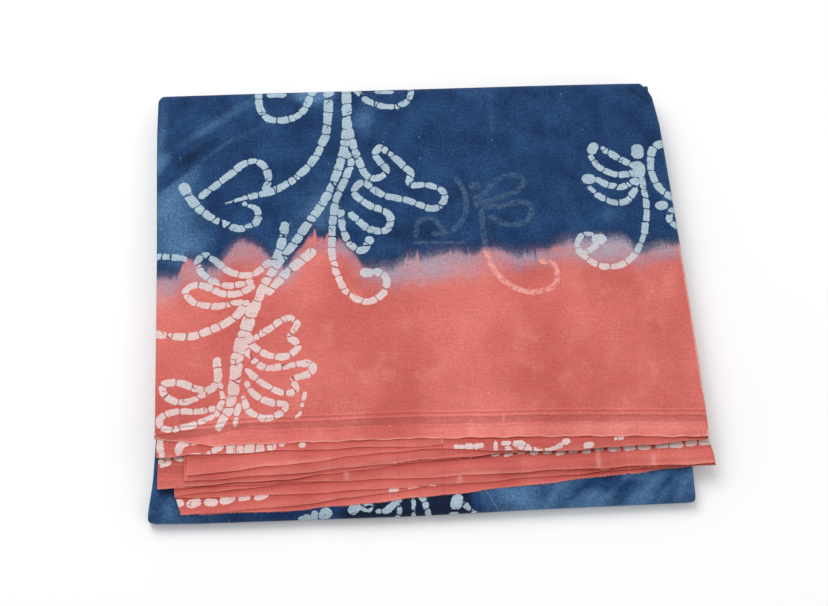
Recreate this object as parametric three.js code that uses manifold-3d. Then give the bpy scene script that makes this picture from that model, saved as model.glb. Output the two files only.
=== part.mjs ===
// A cotton saree folded into a flat pack, as it lies on a shop counter.
// Millimetres, +Z up. The selvedges face -Y, the cloth's length runs along X.
import * as THREE from 'three';
import { mergeVertices } from 'three/addons/utils/BufferGeometryUtils.js';
import Module from 'manifold-3d';

// Driving dimensions
const wall = 1.1;              // one modelled stretch of cloth
const gap = 0.3;               // between neighbouring stretches
const bundle = 12.9;           // the lower half, folded at the cloth's centre line
const borderCount = 10;        // selvedge stretches fanned out at the near side
const pitch = wall + gap;      // from one selvedge stretch to the next
const topInside = bundle + gap + borderCount * pitch;
const topOutside = topInside + wall;
const backOfBorders = -96.4;   // where the fanned stretches run into the hidden layers
const hiddenLeft = -190;       // their left ends back there, before they fan inwards
const hiddenRight = 194;       // their right ends back there, before they fan outwards
const endKeeps = 1.5;          // how soon a left end reaches its place: 1 is at the near edge
const underFlange = 45;        // how far the top stretch runs on under the pack
const farFoldReach = 13;       // how far the far fold bulges past the flat top
const farFoldPower = 0.72;     // 1 is a half ellipse, less is a squarer, pressed fold
const crownX = 0.07;           // loss of height at the left and right ends
const crownY = 0.04;           // loss of height at the near and far folds
const halfWidth = 200;
const halfDepth = 175;
const rippleHeight = 0.5;      // waviness of a selvedge, in plan
const rippleLength = 61;
const bunchBulge = 1.4;        // how far a bunch of hidden layers bulges at the ends
const bunchInset = 2.6;        // the hidden layers' ends, in from the outer stretches' ends
const lowerBunches = 4;
const upperBunches = 6;

// How finely the surfaces are divided
const acrossCount = 20;        // panels along the length
const borderRows = 3;          // from a selvedge back to the hidden layers
const flatTopRows = 10;
const flangeRows = 3;
const undersideRows = 8;
const flapRows = 3;
const farFoldFacets = 10;
const nearFoldFacets = 8;
const ridgeFacets = 4;
const selvedgeFacets = 80;

// Plan of the top stretch and of the base, a row for each line across the pack
const topPlan = [
  { y: -126, left: -195, right: 199 },
  { y: 24, left: -201, right: 194 },
  { y: 124, left: -206, right: 190 },
  { y: 152, left: -207, right: 188.5 },
  { y: 180, left: -207, right: 183 },
];
const basePlan = [
  { y: -176, left: -200, right: 187 },
  { y: -110, left: -198, right: 188 },
  { y: 180, left: -201, right: 181 },
];
// Near and far edges, a row for each line down the pack
const edgePlan = [
  { x: -204, near: -118, far: 177, fold: -175 },
  { x: -160, near: -125.5, far: 177, fold: -175.5 },
  { x: -8, near: -123.5, far: 178.5, fold: -174 },
  { x: 92, near: -124, far: 180, fold: -171 },
  { x: 204, near: -126, far: 181.5, fold: -168.5 },
];
// The fanned selvedges from the top down: their ends, and how near each comes at five places.
// A slant leads the left end inwards towards the near edge.
const places = { west: -193, midWest: -103, middle: -8, midEast: 92, east: 200 };
const borders = [
  { left: -194, right: 9, west: -132, midWest: -130, middle: -128.5, midEast: -128, east: -128 },
  { left: -172, right: 197, west: -148, midWest: -140, middle: -131, midEast: -133.5, east: -127 },
  { left: -174, right: 195, west: -150, midWest: -146, middle: -138, midEast: -132, east: -126 },
  { left: -174, right: 194, west: -153, midWest: -149, middle: -139, midEast: -131, east: -125 },
  { left: -193, right: 193, west: -154, midWest: -148, middle: -137, midEast: -129, east: -124 },
  { left: -181, right: 203, west: -154, midWest: -151, middle: -149.5, midEast: -146, east: -143 },
  { left: -181, right: 201, west: -159.5, midWest: -152, middle: -148, midEast: -144, east: -141 },
  { left: -180, right: 202, west: -160, midWest: -159, middle: -155, midEast: -149, east: -142 },
  { left: -186, right: 201, west: -172, midWest: -167, middle: -156, midEast: -148, east: -141, slant: 13 },
  { left: -163, right: 204, west: -170.5, midWest: -170, middle: -162.5, midEast: -153, east: -142.5 },
];

const cloth = (colour, roughness) =>
  new THREE.MeshStandardMaterial({ color: colour, roughness, metalness: 0 });
const coral = () => cloth(0xd9706a, 0.9);
const indigo = () => cloth(0x254870, 0.88);

// Straight lines between the rows of a plan, read at one coordinate
function along(rows, key, at, value) {
  let i = 1;
  while (i < rows.length - 1 && rows[i][key] < at) i += 1;
  const low = rows[i - 1];
  const high = rows[i];
  const t = THREE.MathUtils.clamp((at - low[key]) / (high[key] - low[key]), 0, 1);
  return THREE.MathUtils.lerp(low[value], high[value], t);
}

// The pack is highest in the middle and a little lower towards its four edges
function settle(point) {
  const u = Math.min(Math.abs(point.x) / halfWidth, 1);
  const v = Math.min(Math.abs(point.y) / halfDepth, 1);
  point.z *= 1 - crownX * u ** 4 - crownY * v ** 4;
  return point;
}

function closedBody(points, triangles) {
  const geometry = new THREE.BufferGeometry();
  const flat = points.flatMap((p) => settle(p.clone()).toArray());
  geometry.setAttribute('position', new THREE.Float32BufferAttribute(flat, 3));
  geometry.setIndex(triangles.flat());
  return geometry;
}

// A wall between an outer and an inner grid of points, closed round its rim.
// Rows run along X, columns follow the section; the outer side is on the left of the columns.
function wallBetween(outer, inner) {
  const rows = outer.length;
  const columns = outer[0].length;
  const count = rows * columns;
  const triangles = [];
  const quad = (a, b, c, d) => triangles.push([a, b, c], [a, c, d]);
  const at = (i, j) => i * columns + j;
  for (let i = 0; i + 1 < rows; i += 1) {
    for (let j = 0; j + 1 < columns; j += 1) {
      quad(at(i, j), at(i + 1, j), at(i + 1, j + 1), at(i, j + 1));
      quad(count + at(i, j), count + at(i, j + 1), count + at(i + 1, j + 1), count + at(i + 1, j));
    }
    quad(at(i + 1, 0), at(i, 0), count + at(i, 0), count + at(i + 1, 0));
    const last = columns - 1;
    quad(at(i, last), at(i + 1, last), count + at(i + 1, last), count + at(i, last));
  }
  for (let j = 0; j + 1 < columns; j += 1) {
    quad(at(0, j), at(0, j + 1), count + at(0, j + 1), count + at(0, j));
    const last = rows - 1;
    quad(at(last, j + 1), at(last, j), count + at(last, j), count + at(last, j + 1));
  }
  return closedBody([...outer.flat(), ...inner.flat()], triangles);
}

const steps = (low, high, count) =>
  Array.from({ length: count + 1 }, (_, i) => low + ((high - low) * i) / count);

// A half ellipse in the YZ plane, from the top round one side to the bottom; a power under 1 squares it
function roundEnd(centreY, centreZ, reach, height, side, count, power = 1) {
  const squared = (value) => Math.sign(value) * Math.abs(value) ** power;
  return steps(0, Math.PI, count).map((a) => ({
    y: centreY + side * reach * squared(Math.sin(a)),
    z: centreZ + height * squared(Math.cos(a)),
  }));
}

// The top stretch: from the near selvedge over the top, round the far fold, a little way under
function topSection(x, inset) {
  const near = along(edgePlan, 'x', x, 'near');
  const far = along(edgePlan, 'x', x, 'far');
  const centre = far - farFoldReach;
  const middle = topOutside / 2;
  const flatTop = steps(near, centre, flatTopRows).slice(0, -1);
  const flatUnder = steps(centre, centre - underFlange, flangeRows).slice(1);
  const reach = farFoldReach - inset;
  return [
    ...flatTop.map((y) => ({ y, z: topOutside - inset })),
    ...roundEnd(centre, middle, reach, middle - inset, 1, farFoldFacets, farFoldPower),
    ...flatUnder.map((y) => ({ y, z: inset })),
  ];
}

// The base stretch: the underside, round the near centre fold and back over the lower half
function baseSection(x, inset) {
  const start = along(edgePlan, 'x', x, 'far') - farFoldReach - underFlange - gap;
  const radius = bundle / 2;
  const centre = along(edgePlan, 'x', x, 'fold') + radius;
  const under = steps(start, centre, undersideRows).slice(0, -1);
  const back = steps(centre, backOfBorders, flapRows).slice(1);
  return [
    ...under.map((y) => ({ y, z: inset })),
    ...roundEnd(centre, radius, radius - inset, radius - inset, -1, nearFoldFacets).reverse(),
    ...back.map((y) => ({ y, z: bundle - inset })),
  ];
}

// The end of the outer layer at one height: the base's plan below, the top's above
function outerEnd({ y, z }, end) {
  return THREE.MathUtils.lerp(along(basePlan, 'y', y, end), along(topPlan, 'y', y, end), z / topOutside);
}

const baseEnd = (p, end) => along(basePlan, 'y', p.y, end);

// Points of a section at one line across the pack, set out between that line's two ends
function placed(section, endOf, t) {
  return section.map((p) => {
    const x = THREE.MathUtils.lerp(endOf(p, 'left'), endOf(p, 'right'), t);
    return new THREE.Vector3(x, p.y, p.z);
  });
}

function outerStretch(section, endOf) {
  const fractions = steps(0, 1, acrossCount);
  const side = (inset) => fractions.map((t) => placed(section((t - 0.5) * 2 * halfWidth, inset), endOf, t));
  return wallBetween(side(0), side(wall));
}

// A selvedge's near edge: a smooth line through its five places, slightly wavy
function selvedge(row, index) {
  const names = Object.keys(places);
  const through = names.map((name) => new THREE.Vector3(places[name], row[name], 0));
  const curve = new THREE.CatmullRomCurve3(through, false, 'centripetal');
  const line = curve.getPoints(selvedgeFacets);
  return (x) => {
    const next = Math.max(1, line.findIndex((p) => p.x >= x));
    const [low, high] = x > line.at(-1).x ? line.slice(-2) : [line[next - 1], line[next]];
    const t = THREE.MathUtils.clamp((x - low.x) / (high.x - low.x), 0, 1);
    const phase = (2 * Math.PI * x) / rippleLength + index;
    return THREE.MathUtils.lerp(low.y, high.y, t) + rippleHeight * Math.sin(phase);
  };
}

function borderStretch(row, index) {
  const upper = topInside - gap - index * pitch;
  const edge = selvedge(row, index);
  const backLeft = Math.min(row.left, hiddenLeft);
  const backRight = Math.min(row.right, hiddenRight);
  const point = (across, down, z) => {
    const fanned = THREE.MathUtils.lerp(backLeft, row.left, Math.min(1, endKeeps * down));
    const left = fanned + (row.slant ?? 0) * down ** 3;
    const right = THREE.MathUtils.lerp(backRight, row.right, down);
    const x = THREE.MathUtils.lerp(left, right, across);
    return new THREE.Vector3(x, THREE.MathUtils.lerp(backOfBorders, edge(x), down), z);
  };
  const grid = (z) => steps(0, 1, acrossCount).map((across) =>
    steps(0, 1, borderRows).map((down) => point(across, down, z)));
  return wallBetween(grid(upper - wall), grid(upper));
}

// Rounded ridges down one side, one for each bunch of folded layers
function ridges(low, high, count) {
  const height = (high - low) / count;
  const half = steps(0, Math.PI, ridgeFacets).slice(0, -1);
  return steps(0, count - 1, count - 1).flatMap((k) => half.map((a) => ({
    z: low + height * (k + (1 - Math.cos(a)) / 2),
    out: bunchBulge * Math.sin(a),
  })));
}

// A loft of ridged sections from the near end to the far end. A ring shrinks in height at a fold.
function layeredSolid(rings, bunches, plan) {
  const sides = bunches.flatMap(({ low, high, count, plan: own }) =>
    ridges(low, high, count).map((r) => ({ ...r, plan: own ?? plan })));
  sides.push({ z: bunches.at(-1).high, out: 0, plan: sides.at(-1).plan });
  const middle = (bunches[0].low + bunches.at(-1).high) / 2;
  const outline = ({ y, height, narrow = 0 }) => {
    const z = (r) => middle + (r.z - middle) * height;
    const inset = bunchInset + narrow;
    const right = sides.map((r) => [along(r.plan, 'y', y, 'right') - inset + r.out, z(r)]);
    const left = sides.map((r) => [along(r.plan, 'y', y, 'left') + inset - r.out, z(r)]);
    return [...right, ...left.reverse()];
  };
  const count = sides.length * 2;
  const points = rings.flatMap((ring) => outline(ring).map(([x, z]) => new THREE.Vector3(x, ring.y, z)));
  const triangles = [];
  for (let k = 0; k + 1 < rings.length; k += 1) {
    for (let i = 0; i < count; i += 1) {
      const j = (i + 1) % count;
      const [a, b] = [k * count + i, k * count + j];
      triangles.push([a, a + count, b], [b, a + count, b + count]);
    }
  }
  const cap = THREE.ShapeUtils.triangulateShape(outline(rings[0]).map((p) => new THREE.Vector2(...p)), []);
  const end = (rings.length - 1) * count;
  cap.forEach(([a, b, c]) => triangles.push([a, b, c], [end + a, end + c, end + b]));
  return closedBody(points, triangles);
}

// Rings that close a loft over a fold: each is as high as a circle is at its share of the reach
function roundedRings(from, to, reach, side) {
  const shares = [0.94, 0.8, 0.6, 0.3];
  return shares.map((share) => ({
    y: to - side * reach * (1 - share),
    height: Math.sqrt(1 - share ** 2),
  })).concat({ y: from, height: 1 });
}

async function joined(first, second) {
  const wasm = await Module();
  wasm.setup();
  const solid = (geometry) => {
    const merged = mergeVertices(geometry, 1e-4);
    const vertProperties = new Float32Array(merged.attributes.position.array);
    return new wasm.Manifold(new wasm.Mesh({ numProp: 3, vertProperties, triVerts: merged.index.array }));
  };
  const mesh = solid(first).add(solid(second)).getMesh();
  const geometry = new THREE.BufferGeometry();
  geometry.setAttribute('position', new THREE.BufferAttribute(mesh.vertProperties, 3));
  geometry.setIndex(new THREE.BufferAttribute(mesh.triVerts, 1));
  return geometry;
}

// The layers that don't show: the whole pack's height behind the borders, the lower half in front
async function hiddenLayers() {
  const farEnd = edgePlan[0].far - wall - gap;
  const nearEnd = edgePlan.at(-1).fold + wall + gap;
  const lower = { low: wall + gap, high: bundle - wall - gap, count: lowerBunches, plan: basePlan };
  const upper = { low: bundle - wall - gap, high: topInside - gap, count: upperBunches, plan: topPlan };
  const behind = backOfBorders + gap;
  const bend = topPlan[1].y;
  const whole = layeredSolid(
    [{ y: behind, height: 1 }, { y: bend, height: 1 },
      ...roundedRings(farEnd - farFoldReach, farEnd, farFoldReach, 1).reverse()],
    [lower, upper], topPlan);
  // the front's last ring is a little smaller, to lie wholly inside the other solid
  const inside = { y: behind + 10, height: 0.8, narrow: 2 };
  const front = layeredSolid(
    [...roundedRings(nearEnd + bundle / 2, nearEnd, bundle / 2, -1), { y: behind - 1, height: 1 }, inside],
    [lower], basePlan);
  return joined(whole, front);
}

function named(name, geometry, material) {
  const mesh = new THREE.Mesh(geometry, material);
  mesh.name = name;
  return mesh;
}

const saree = new THREE.Group();
saree.add(named('top_stretch', outerStretch(topSection, outerEnd), coral()));
saree.add(named('base_stretch', outerStretch(baseSection, baseEnd), indigo()));
saree.add(named('hidden_layers', await hiddenLayers(), indigo()));
borders.forEach((row, index) => {
  const name = `border_${String(index + 1).padStart(2, '0')}`;
  saree.add(named(name, borderStretch(row, index), coral()));
});

// The origin is under the middle of the pack
const box = new THREE.Box3().setFromObject(saree);
const middle = box.getCenter(new THREE.Vector3());
saree.children.forEach((mesh) => mesh.geometry.translate(-middle.x, -middle.y, -box.min.z));

export default saree;
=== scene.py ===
import bpy
import math
import numpy as np
from mathutils import Matrix, Vector


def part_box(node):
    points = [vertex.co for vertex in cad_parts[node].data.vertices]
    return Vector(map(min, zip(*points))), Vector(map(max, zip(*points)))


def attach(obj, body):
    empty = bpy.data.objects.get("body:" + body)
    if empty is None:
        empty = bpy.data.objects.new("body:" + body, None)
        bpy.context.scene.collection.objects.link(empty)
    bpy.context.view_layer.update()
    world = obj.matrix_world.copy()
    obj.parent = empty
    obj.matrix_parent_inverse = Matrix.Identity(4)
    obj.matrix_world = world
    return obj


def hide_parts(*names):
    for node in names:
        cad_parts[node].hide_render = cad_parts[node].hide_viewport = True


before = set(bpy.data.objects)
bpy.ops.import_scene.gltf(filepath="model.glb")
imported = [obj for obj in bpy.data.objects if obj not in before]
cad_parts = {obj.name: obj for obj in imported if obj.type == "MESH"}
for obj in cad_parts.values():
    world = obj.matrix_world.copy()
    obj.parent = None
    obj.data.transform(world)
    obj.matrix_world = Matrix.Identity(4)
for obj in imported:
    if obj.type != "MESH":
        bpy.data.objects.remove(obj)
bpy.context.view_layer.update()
mm = 0.001

camera = {
    "lens": 64.0,
    "elevation": 63.5,
    "left": 3.0,                    # degrees round to -X
    "roll": 1.5,
    "distance": 1.1206,
    "target": (-0.0065, -0.006, 0.0),
}

room = {
    "floor": 6.0,
    "floorHeight": -0.0002,
    "floorColour": (0.93, 0.93, 0.93),
    "world": 0.58,
    "lights": [                     # place, aimed at the pack; size and watts
        {"name": "windowLight", "at": (-0.55, 0.9, 1.6), "size": 1.3, "power": 22.0},
        {"name": "fillLight", "at": (0.9, -0.9, 1.3), "size": 1.4, "power": 5.6},
    ],
}


def makeCamera(look):
    up, left = math.radians(look["elevation"]), math.radians(look["left"])
    back = Vector((-math.sin(left) * math.cos(up), -math.cos(left) * math.cos(up), math.sin(up)))
    level = (-back).cross(Vector((0, 0, 1))).normalized()
    tilt = Matrix.Rotation(math.radians(look["roll"]), 3, back)
    side = tilt @ level
    rise = back.cross(side)
    data = bpy.data.cameras.new("viewCamera")
    data.lens = look["lens"]
    obj = bpy.data.objects.new("viewCamera", data)
    bpy.context.scene.collection.objects.link(obj)
    turn = Matrix((side, rise, back)).transposed()
    obj.matrix_world = Matrix.Translation(Vector(look["target"]) + back * look["distance"]) @ turn.to_4x4()
    bpy.context.scene.camera = obj


def makeRoom(look):
    scene = bpy.context.scene
    scene.view_settings.view_transform = "Standard"
    world = bpy.data.worlds.new("paleRoom")
    world.use_nodes = True
    world.node_tree.nodes["Background"].inputs["Color"].default_value = (1, 1, 1, 1)
    world.node_tree.nodes["Background"].inputs["Strength"].default_value = look["world"]
    scene.world = world
    for light in look["lights"]:
        data = bpy.data.lights.new(light["name"], "AREA")
        data.size = light["size"]
        data.energy = light["power"]
        obj = bpy.data.objects.new(light["name"], data)
        obj.location = light["at"]
        obj.rotation_euler = (-Vector(light["at"])).to_track_quat("-Z", "Y").to_euler()
        scene.collection.objects.link(obj)
    half = look["floor"] / 2
    mesh = bpy.data.meshes.new("floor")
    corners = [(x * half, y * half, look["floorHeight"]) for x, y in ((-1, -1), (1, -1), (1, 1), (-1, 1))]
    mesh.from_pydata(corners, [], [(0, 1, 2, 3)])
    floor = bpy.data.objects.new("floor", mesh)
    scene.collection.objects.link(floor)
    material = bpy.data.materials.new("paleFloor")
    material.use_nodes = True
    shader = material.node_tree.nodes["Principled BSDF"]
    shader.inputs["Base Color"].default_value = (*look["floorColour"], 1)
    shader.inputs["Roughness"].default_value = 0.9
    shader.inputs["Specular IOR Level"].default_value = 0.1
    mesh.materials.append(material)


makeCamera(camera)
makeRoom(room)
print("camera and room made")


def ease(low, high, value):
    t = np.clip((value - low) / (high - low), 0, 1)
    return t * t * (3 - 2 * t)


def hump(value, centre, width):
    return np.exp(-(((value - centre) / width) ** 2))


# Grid lines between stops of (place, spacing up to the next stop), in groups of three
def gridLines(stops):
    lines = [np.array([stops[0][0]], float)]
    for (low, spacing), (high, _) in zip(stops, stops[1:]):
        count = 3 * max(1, round(abs(high - low) / spacing / 3))
        lines.append(np.linspace(low, high, count + 1)[1:])
    return np.concatenate(lines)


# Gentle unevenness: a few waves in directions picked from a seed
def waves(x, y, size, seed, count=7):
    pick = np.random.default_rng(seed)
    total = 0
    for _ in range(count):
        angle = pick.uniform(0, math.pi)
        length = size * pick.uniform(0.6, 1.7)
        phase = pick.uniform(0, 2 * math.pi)
        total = total + np.sin((x * math.cos(angle) + y * math.sin(angle)) * 2 * math.pi / length + phase)
    return total / math.sqrt(count)


crown = {"x": 0.07, "y": 0.04, "halfWidth": 200.0, "halfDepth": 175.0}    # as the frame's solids have it

# Everything is drawn from the top stretch's own left and near edges, then slid into the frame
drawn = {"left": -207.0, "near": -125.95}
slide = np.array([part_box("top_stretch")[0].x / mm - drawn["left"],
                  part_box("top_stretch")[0].y / mm - drawn["near"], 0.0])


# The pack is lower towards its edges, as a share of its height
def settled(x, y):
    u = np.minimum(np.abs(x) / crown["halfWidth"], 1)
    v = np.minimum(np.abs(y) / crown["halfDepth"], 1)
    return 1 - crown["x"] * u ** 4 - crown["y"] * v ** 4


def nodePoints(name):
    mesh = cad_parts[name].data
    points = np.empty(len(mesh.vertices) * 3)
    mesh.vertices.foreach_get("co", points)
    return np.unique(np.round(points.reshape(-1, 3) / mm - slide, 2), axis=0)


# The outermost value of one axis (0 x, 1 y) read along the other, from a node's own points
def outline(points, axis, side, window):
    other = 1 - axis
    kept = []
    for p in points:
        near = points[np.abs(points[:, other] - p[other]) < window]
        if side * p[axis] >= (side * near[:, axis]).max() - 0.01:
            kept.append((p[other], p[axis]))
    kept = np.array(sorted(kept))
    return lambda value: np.interp(value, kept[:, 0], kept[:, 1])


topPoints = nodePoints("top_stretch")
basePoints = nodePoints("base_stretch")
upper = topPoints[topPoints[:, 2] > 20]
topHeight = (topPoints[:, 2] / settled(topPoints[:, 0], topPoints[:, 1])).max()
farOf = outline(topPoints, 1, 1, 9)
nearOf = outline(upper[upper[:, 1] < -110], 1, -1, 9)
topLeftOf = outline(upper[upper[:, 0] < -150], 0, -1, 12)
rightRead = outline(upper[upper[:, 0] > 150], 0, 1, 12)
foldOf = outline(basePoints[basePoints[:, 1] < -150], 1, -1, 9)
leftRead = outline(basePoints[basePoints[:, 0] < -150], 0, -1, 20)
baseRightOf = outline(basePoints[basePoints[:, 0] > 140], 0, 1, 20)


# Two sides bow a little to the right of the frame's outline: how far, and between which places
sideBows = {"topRight": (1.9, -118, -70), "baseLeft": (1.7, -174, -140)}


def bowed(side, y):
    reach, start, end = sideBows[side]
    return reach * ease(start, end, y)


def topRightOf(y):
    return rightRead(y) + bowed("topRight", y)


def baseLeftOf(y):
    return leftRead(y) + bowed("baseLeft", y)


# The left and right sides at a share of the pack's height
def sidesAt(y, share):
    return (topLeftOf(y) * share + baseLeftOf(y) * (1 - share),
            topRightOf(y) * share + baseRightOf(y) * (1 - share))


flap = basePoints[basePoints[:, 2] > 9]
flapHeight = (flap[:, 2] / settled(flap[:, 0], flap[:, 1])).max()
flapBack = flap[:, 1].max()
print("outlines read:", slide.round(2), round(topHeight, 2), round(flapHeight, 2), round(flapBack, 1))


# A smooth line through a few joints, with its width from start to end
def strand(joints, *widths):
    joints = np.array(joints, float)
    ends = [2 * joints[0] - joints[1], *joints, 2 * joints[-1] - joints[-2]]
    line = [joints[0]]
    for a, b, c, d in zip(ends, ends[1:], ends[2:], ends[3:]):
        count = max(2, int(np.linalg.norm(c - b) / 1.5))
        for t in np.arange(1, count + 1) / count:
            line.append(0.5 * (2 * b + (c - a) * t + (2 * a - 5 * b + 4 * c - d) * t ** 2
                               + (3 * b - a - 3 * c + d) * t ** 3))
    return {"line": np.array(line), "widths": widths}


# A single drop of wax, round or long, with no cracks in it
def blob(x, y, width, length=1.0, heading=0.0):
    at = np.array([x, y], float)
    half = length / 2 * np.array([math.cos(math.radians(heading)), math.sin(math.radians(heading))])
    return {"line": np.array([at - half, at, at + half], float), "widths": (width,), "whole": True}


dotPlay = {"place": 0.25, "size": (0.85, 1.12), "turn": (-9, 9)}


# A row of drawn dots along a line, each a little different
def dotRow(start, end, count, width, length, seed, heading=0.0):
    pick = np.random.default_rng(seed)
    dots = []
    for t in np.linspace(0, 1, count):
        at = np.array(start) * (1 - t) + np.array(end) * t + pick.normal(0, dotPlay["place"], 2)
        grow = pick.uniform(*dotPlay["size"])
        dots.append(blob(*at, width * grow, length * grow, heading + pick.uniform(*dotPlay["turn"])))
    return dots


wholeSide = 1000.0                  # added to the side of a blob, which has no cracks
noInk = 9.0                         # how far outside, where there is no stroke near
strokeStart = 137.0                 # keeps the cracks of one stroke unlike the next one's
crowded = 8.0                       # strokes nearer than this go on different layers where they can
inkReach = 7.0                      # fields are worked out this far from a stroke


# Fields of the inked strokes: how far outside, how far along, and how far to one side of the middle
def inkFields(x, y, strokes, layers=3):
    fields = [np.stack([np.full(x.shape, noInk), np.zeros(x.shape), np.zeros(x.shape)], axis=-1)
              for _ in range(layers)]
    placed = [[] for _ in range(layers)]
    for index, stroke in enumerate(strokes):
        line = stroke["line"]
        crowd = [sum(np.linalg.norm(line[:, None] - other[None], axis=2).min() < crowded for other in layer)
                 for layer in placed]
        layer = int(np.argmin(crowd))
        placed[layer].append(line[::2])
        step = np.diff(line, axis=0)
        size = np.maximum(np.linalg.norm(step, axis=1), 1e-6)
        travelled = np.concatenate([[0], np.cumsum(size)])
        stations = np.linspace(0, travelled[-1], max(2, len(stroke["widths"])))
        values = stroke["widths"] if len(stroke["widths"]) > 1 else stroke["widths"] * 2
        reach = max(values) / 2 + inkReach
        low, high = line.min(0) - reach, line.max(0) + reach
        inside = (x > low[0]) & (x < high[0]) & (y > low[1]) & (y < high[1])
        if not inside.any():
            continue
        p = np.stack([x[inside], y[inside]], axis=1)
        best = np.full(len(p), 1e9)
        along = np.zeros(len(p))
        side = np.zeros(len(p))
        for a, d, length, start in zip(line[:-1], step, size, travelled):
            t = np.clip((p - a) @ d / length ** 2, 0, 1)
            off = p - a - t[:, None] * d
            far = np.linalg.norm(off, axis=1)
            closer = far < best
            best[closer] = far[closer]
            along[closer] = start + t[closer] * length
            side[closer] = (far * np.sign(d[0] * off[:, 1] - d[1] * off[:, 0]))[closer]
        gap = best - np.interp(along, stations, values) / 2
        if stroke.get("whole"):
            side = side + wholeSide
        field = fields[layer]
        old = field[inside]
        take = gap < old[:, 0]
        old[take] = np.stack([gap, along + strokeStart * (index + 1), side], axis=1)[take]
        field[inside] = old
    return fields


allBlue, allCoral = 60.0, -60.0     # millimetres above the dip's upper edge

# What the look reads at each point, and its value where a piece gives none
plainCloth = {"dye": allBlue, "wash": 0.0, "wear": 0.0, "ghost": noInk, "bleed": 0.0, "shade": 0.0}


def clothFloats(shape, **given):
    return {key: np.broadcast_to(np.asarray(given.get(key, plain), float), shape)
            for key, plain in plainCloth.items()}


# Gives a mesh its layout in metres, its drawn fields and its cloth, and makes an object of it
def dressed(name, mesh, lay, vectors, floats, material):
    corner = np.empty(len(mesh.loops), int)
    mesh.loops.foreach_get("vertex_index", corner)
    layout = mesh.uv_layers.new(name="lay")
    layout.uv.foreach_set("vector", (lay * mm)[corner].ravel())
    for key, values in vectors.items():
        store = mesh.attributes.new(key, "FLOAT_VECTOR", "POINT")
        store.data.foreach_set("vector", np.ravel(values))
    for key, values in floats.items():
        store = mesh.attributes.new(key, "FLOAT", "POINT")
        store.data.foreach_set("value", np.ravel(values))
    mesh.polygons.foreach_set("use_smooth", [True] * len(mesh.polygons))
    mesh.set_sharp_from_angle(angle=math.radians(50))
    mesh.materials.clear()
    mesh.materials.append(material)
    mesh.update()
    obj = bpy.data.objects.new(name, mesh)
    bpy.context.scene.collection.objects.link(obj)
    return obj


# A closed sheet of cloth: a fine outer face, a coarser inner face, and a rim between them
def shell(name, points, lay, thick, vectors, floats, material, skip=3):
    across, down = points.shape[:2]
    du, dv = np.gradient(points, axis=0), np.gradient(points, axis=1)
    normal = np.cross(du, dv)
    normal /= np.maximum(np.linalg.norm(normal, axis=2, keepdims=True), 1e-9)
    coarse = (slice(None, None, skip), slice(None, None, skip))
    inner = (points - normal * thick)[coarse]
    outerId = np.arange(across * down).reshape(across, down)
    innerId = across * down + np.arange(inner.shape[0] * inner.shape[1]).reshape(inner.shape[:2])

    def quads(ids, flip):
        ring = [ids[:-1, :-1], ids[1:, :-1], ids[1:, 1:], ids[:-1, 1:]]
        return np.stack(ring[::-1] if flip else ring, axis=-1).reshape(-1, 4)

    def border(ids):
        return np.concatenate([ids[:-1, 0], ids[-1, :-1], ids[:0:-1, -1], ids[0, :0:-1]])

    fine, rough = border(outerId), border(innerId)
    rim = []
    half = (skip + 1) // 2
    for k in range(len(rough)):
        a, b = rough[k], rough[(k + 1) % len(rough)]
        f = [fine[(k * skip + m) % len(fine)] for m in range(skip + 1)]
        rim += [(f[m + 1], f[m], a) for m in range(half)]
        rim.append((f[half], a, b))
        rim += [(f[m + 1], f[m], b) for m in range(half, skip)]
    faces = quads(outerId, False).tolist() + quads(innerId, True).tolist() + rim
    mesh = bpy.data.meshes.new(name)
    everyPoint = (np.concatenate([points.reshape(-1, 3), inner.reshape(-1, 3)]) + slide) * mm
    mesh.from_pydata(everyPoint.tolist(), [], faces)

    def both(values, size):
        return np.concatenate([values.reshape(-1, size), values[coarse].reshape(-1, size)])

    vectors = {key: both(values, 3) for key, values in vectors.items()}
    floats = {key: both(values, 1) for key, values in floats.items()}
    return dressed(name, mesh, both(lay, 2), vectors, floats, material)


# Stations across a sheet whose ends roll over and tuck under. Each has its place from 0 to 1, then how
# far out and how far in from the surface it lies, for a roll of radius 1, and its share of the tuck.
def rolledEnds(width, spacing, turns=6):
    place = gridLines([(0.0, spacing / width), (1.0, spacing / width)])
    angle = np.linspace(0, math.pi, turns + 1)[1:]
    end = np.concatenate([np.stack([np.sin(angle), 1 - np.cos(angle), 0 * angle], axis=1),
                          [(0, 2, k / 3) for k in (1, 2, 3)]])
    flat = np.zeros((len(place), 3))
    where = np.concatenate([np.zeros(len(end)), place, np.ones(len(end))])
    isLeft = np.concatenate([np.ones(len(end)), np.zeros(len(place) + len(end))])
    return where, np.concatenate([end[::-1], flat, end]), isLeft > 0


# Places across and depths below the surface, for two ends with rolls of their own
def acrossSheet(stations, left, right, leftRadius, rightRadius, tuck):
    where, roll, isLeft = stations
    where, isLeft = where[:, None], isLeft[:, None]
    radius = np.where(isLeft, leftRadius, rightRadius)
    out = radius * roll[:, :1] - tuck * roll[:, 2:]
    x = left + leftRadius + where * (right - left - leftRadius - rightRadius)
    return x + np.where(isLeft, -out, out), radius * roll[:, 1:2] + 0 * x


# 1 where the cloth turns over at a rolled end, which gets rubbed and carries a painted highlight
def rolledEdge(depth):
    return ease(0.05, 0.5, depth) * ease(2.0, 0.9, depth)


# Distance along the cloth across each row; on the flat it is simply x
def lengthAcross(x, depth):
    step = np.hypot(np.diff(x, axis=0), np.diff(depth, axis=0))
    path = np.concatenate([np.zeros((1, x.shape[1])), np.cumsum(step, axis=0)])
    middle = len(path) // 2
    return path - path[middle] + x[middle]


def colour(red, green, blue):
    linear = [c / 255 / 12.92 if c / 255 <= 0.04045 else ((c / 255 + 0.055) / 1.055) ** 2.4
              for c in (red, green, blue)]
    return (*linear, 1.0)


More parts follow.
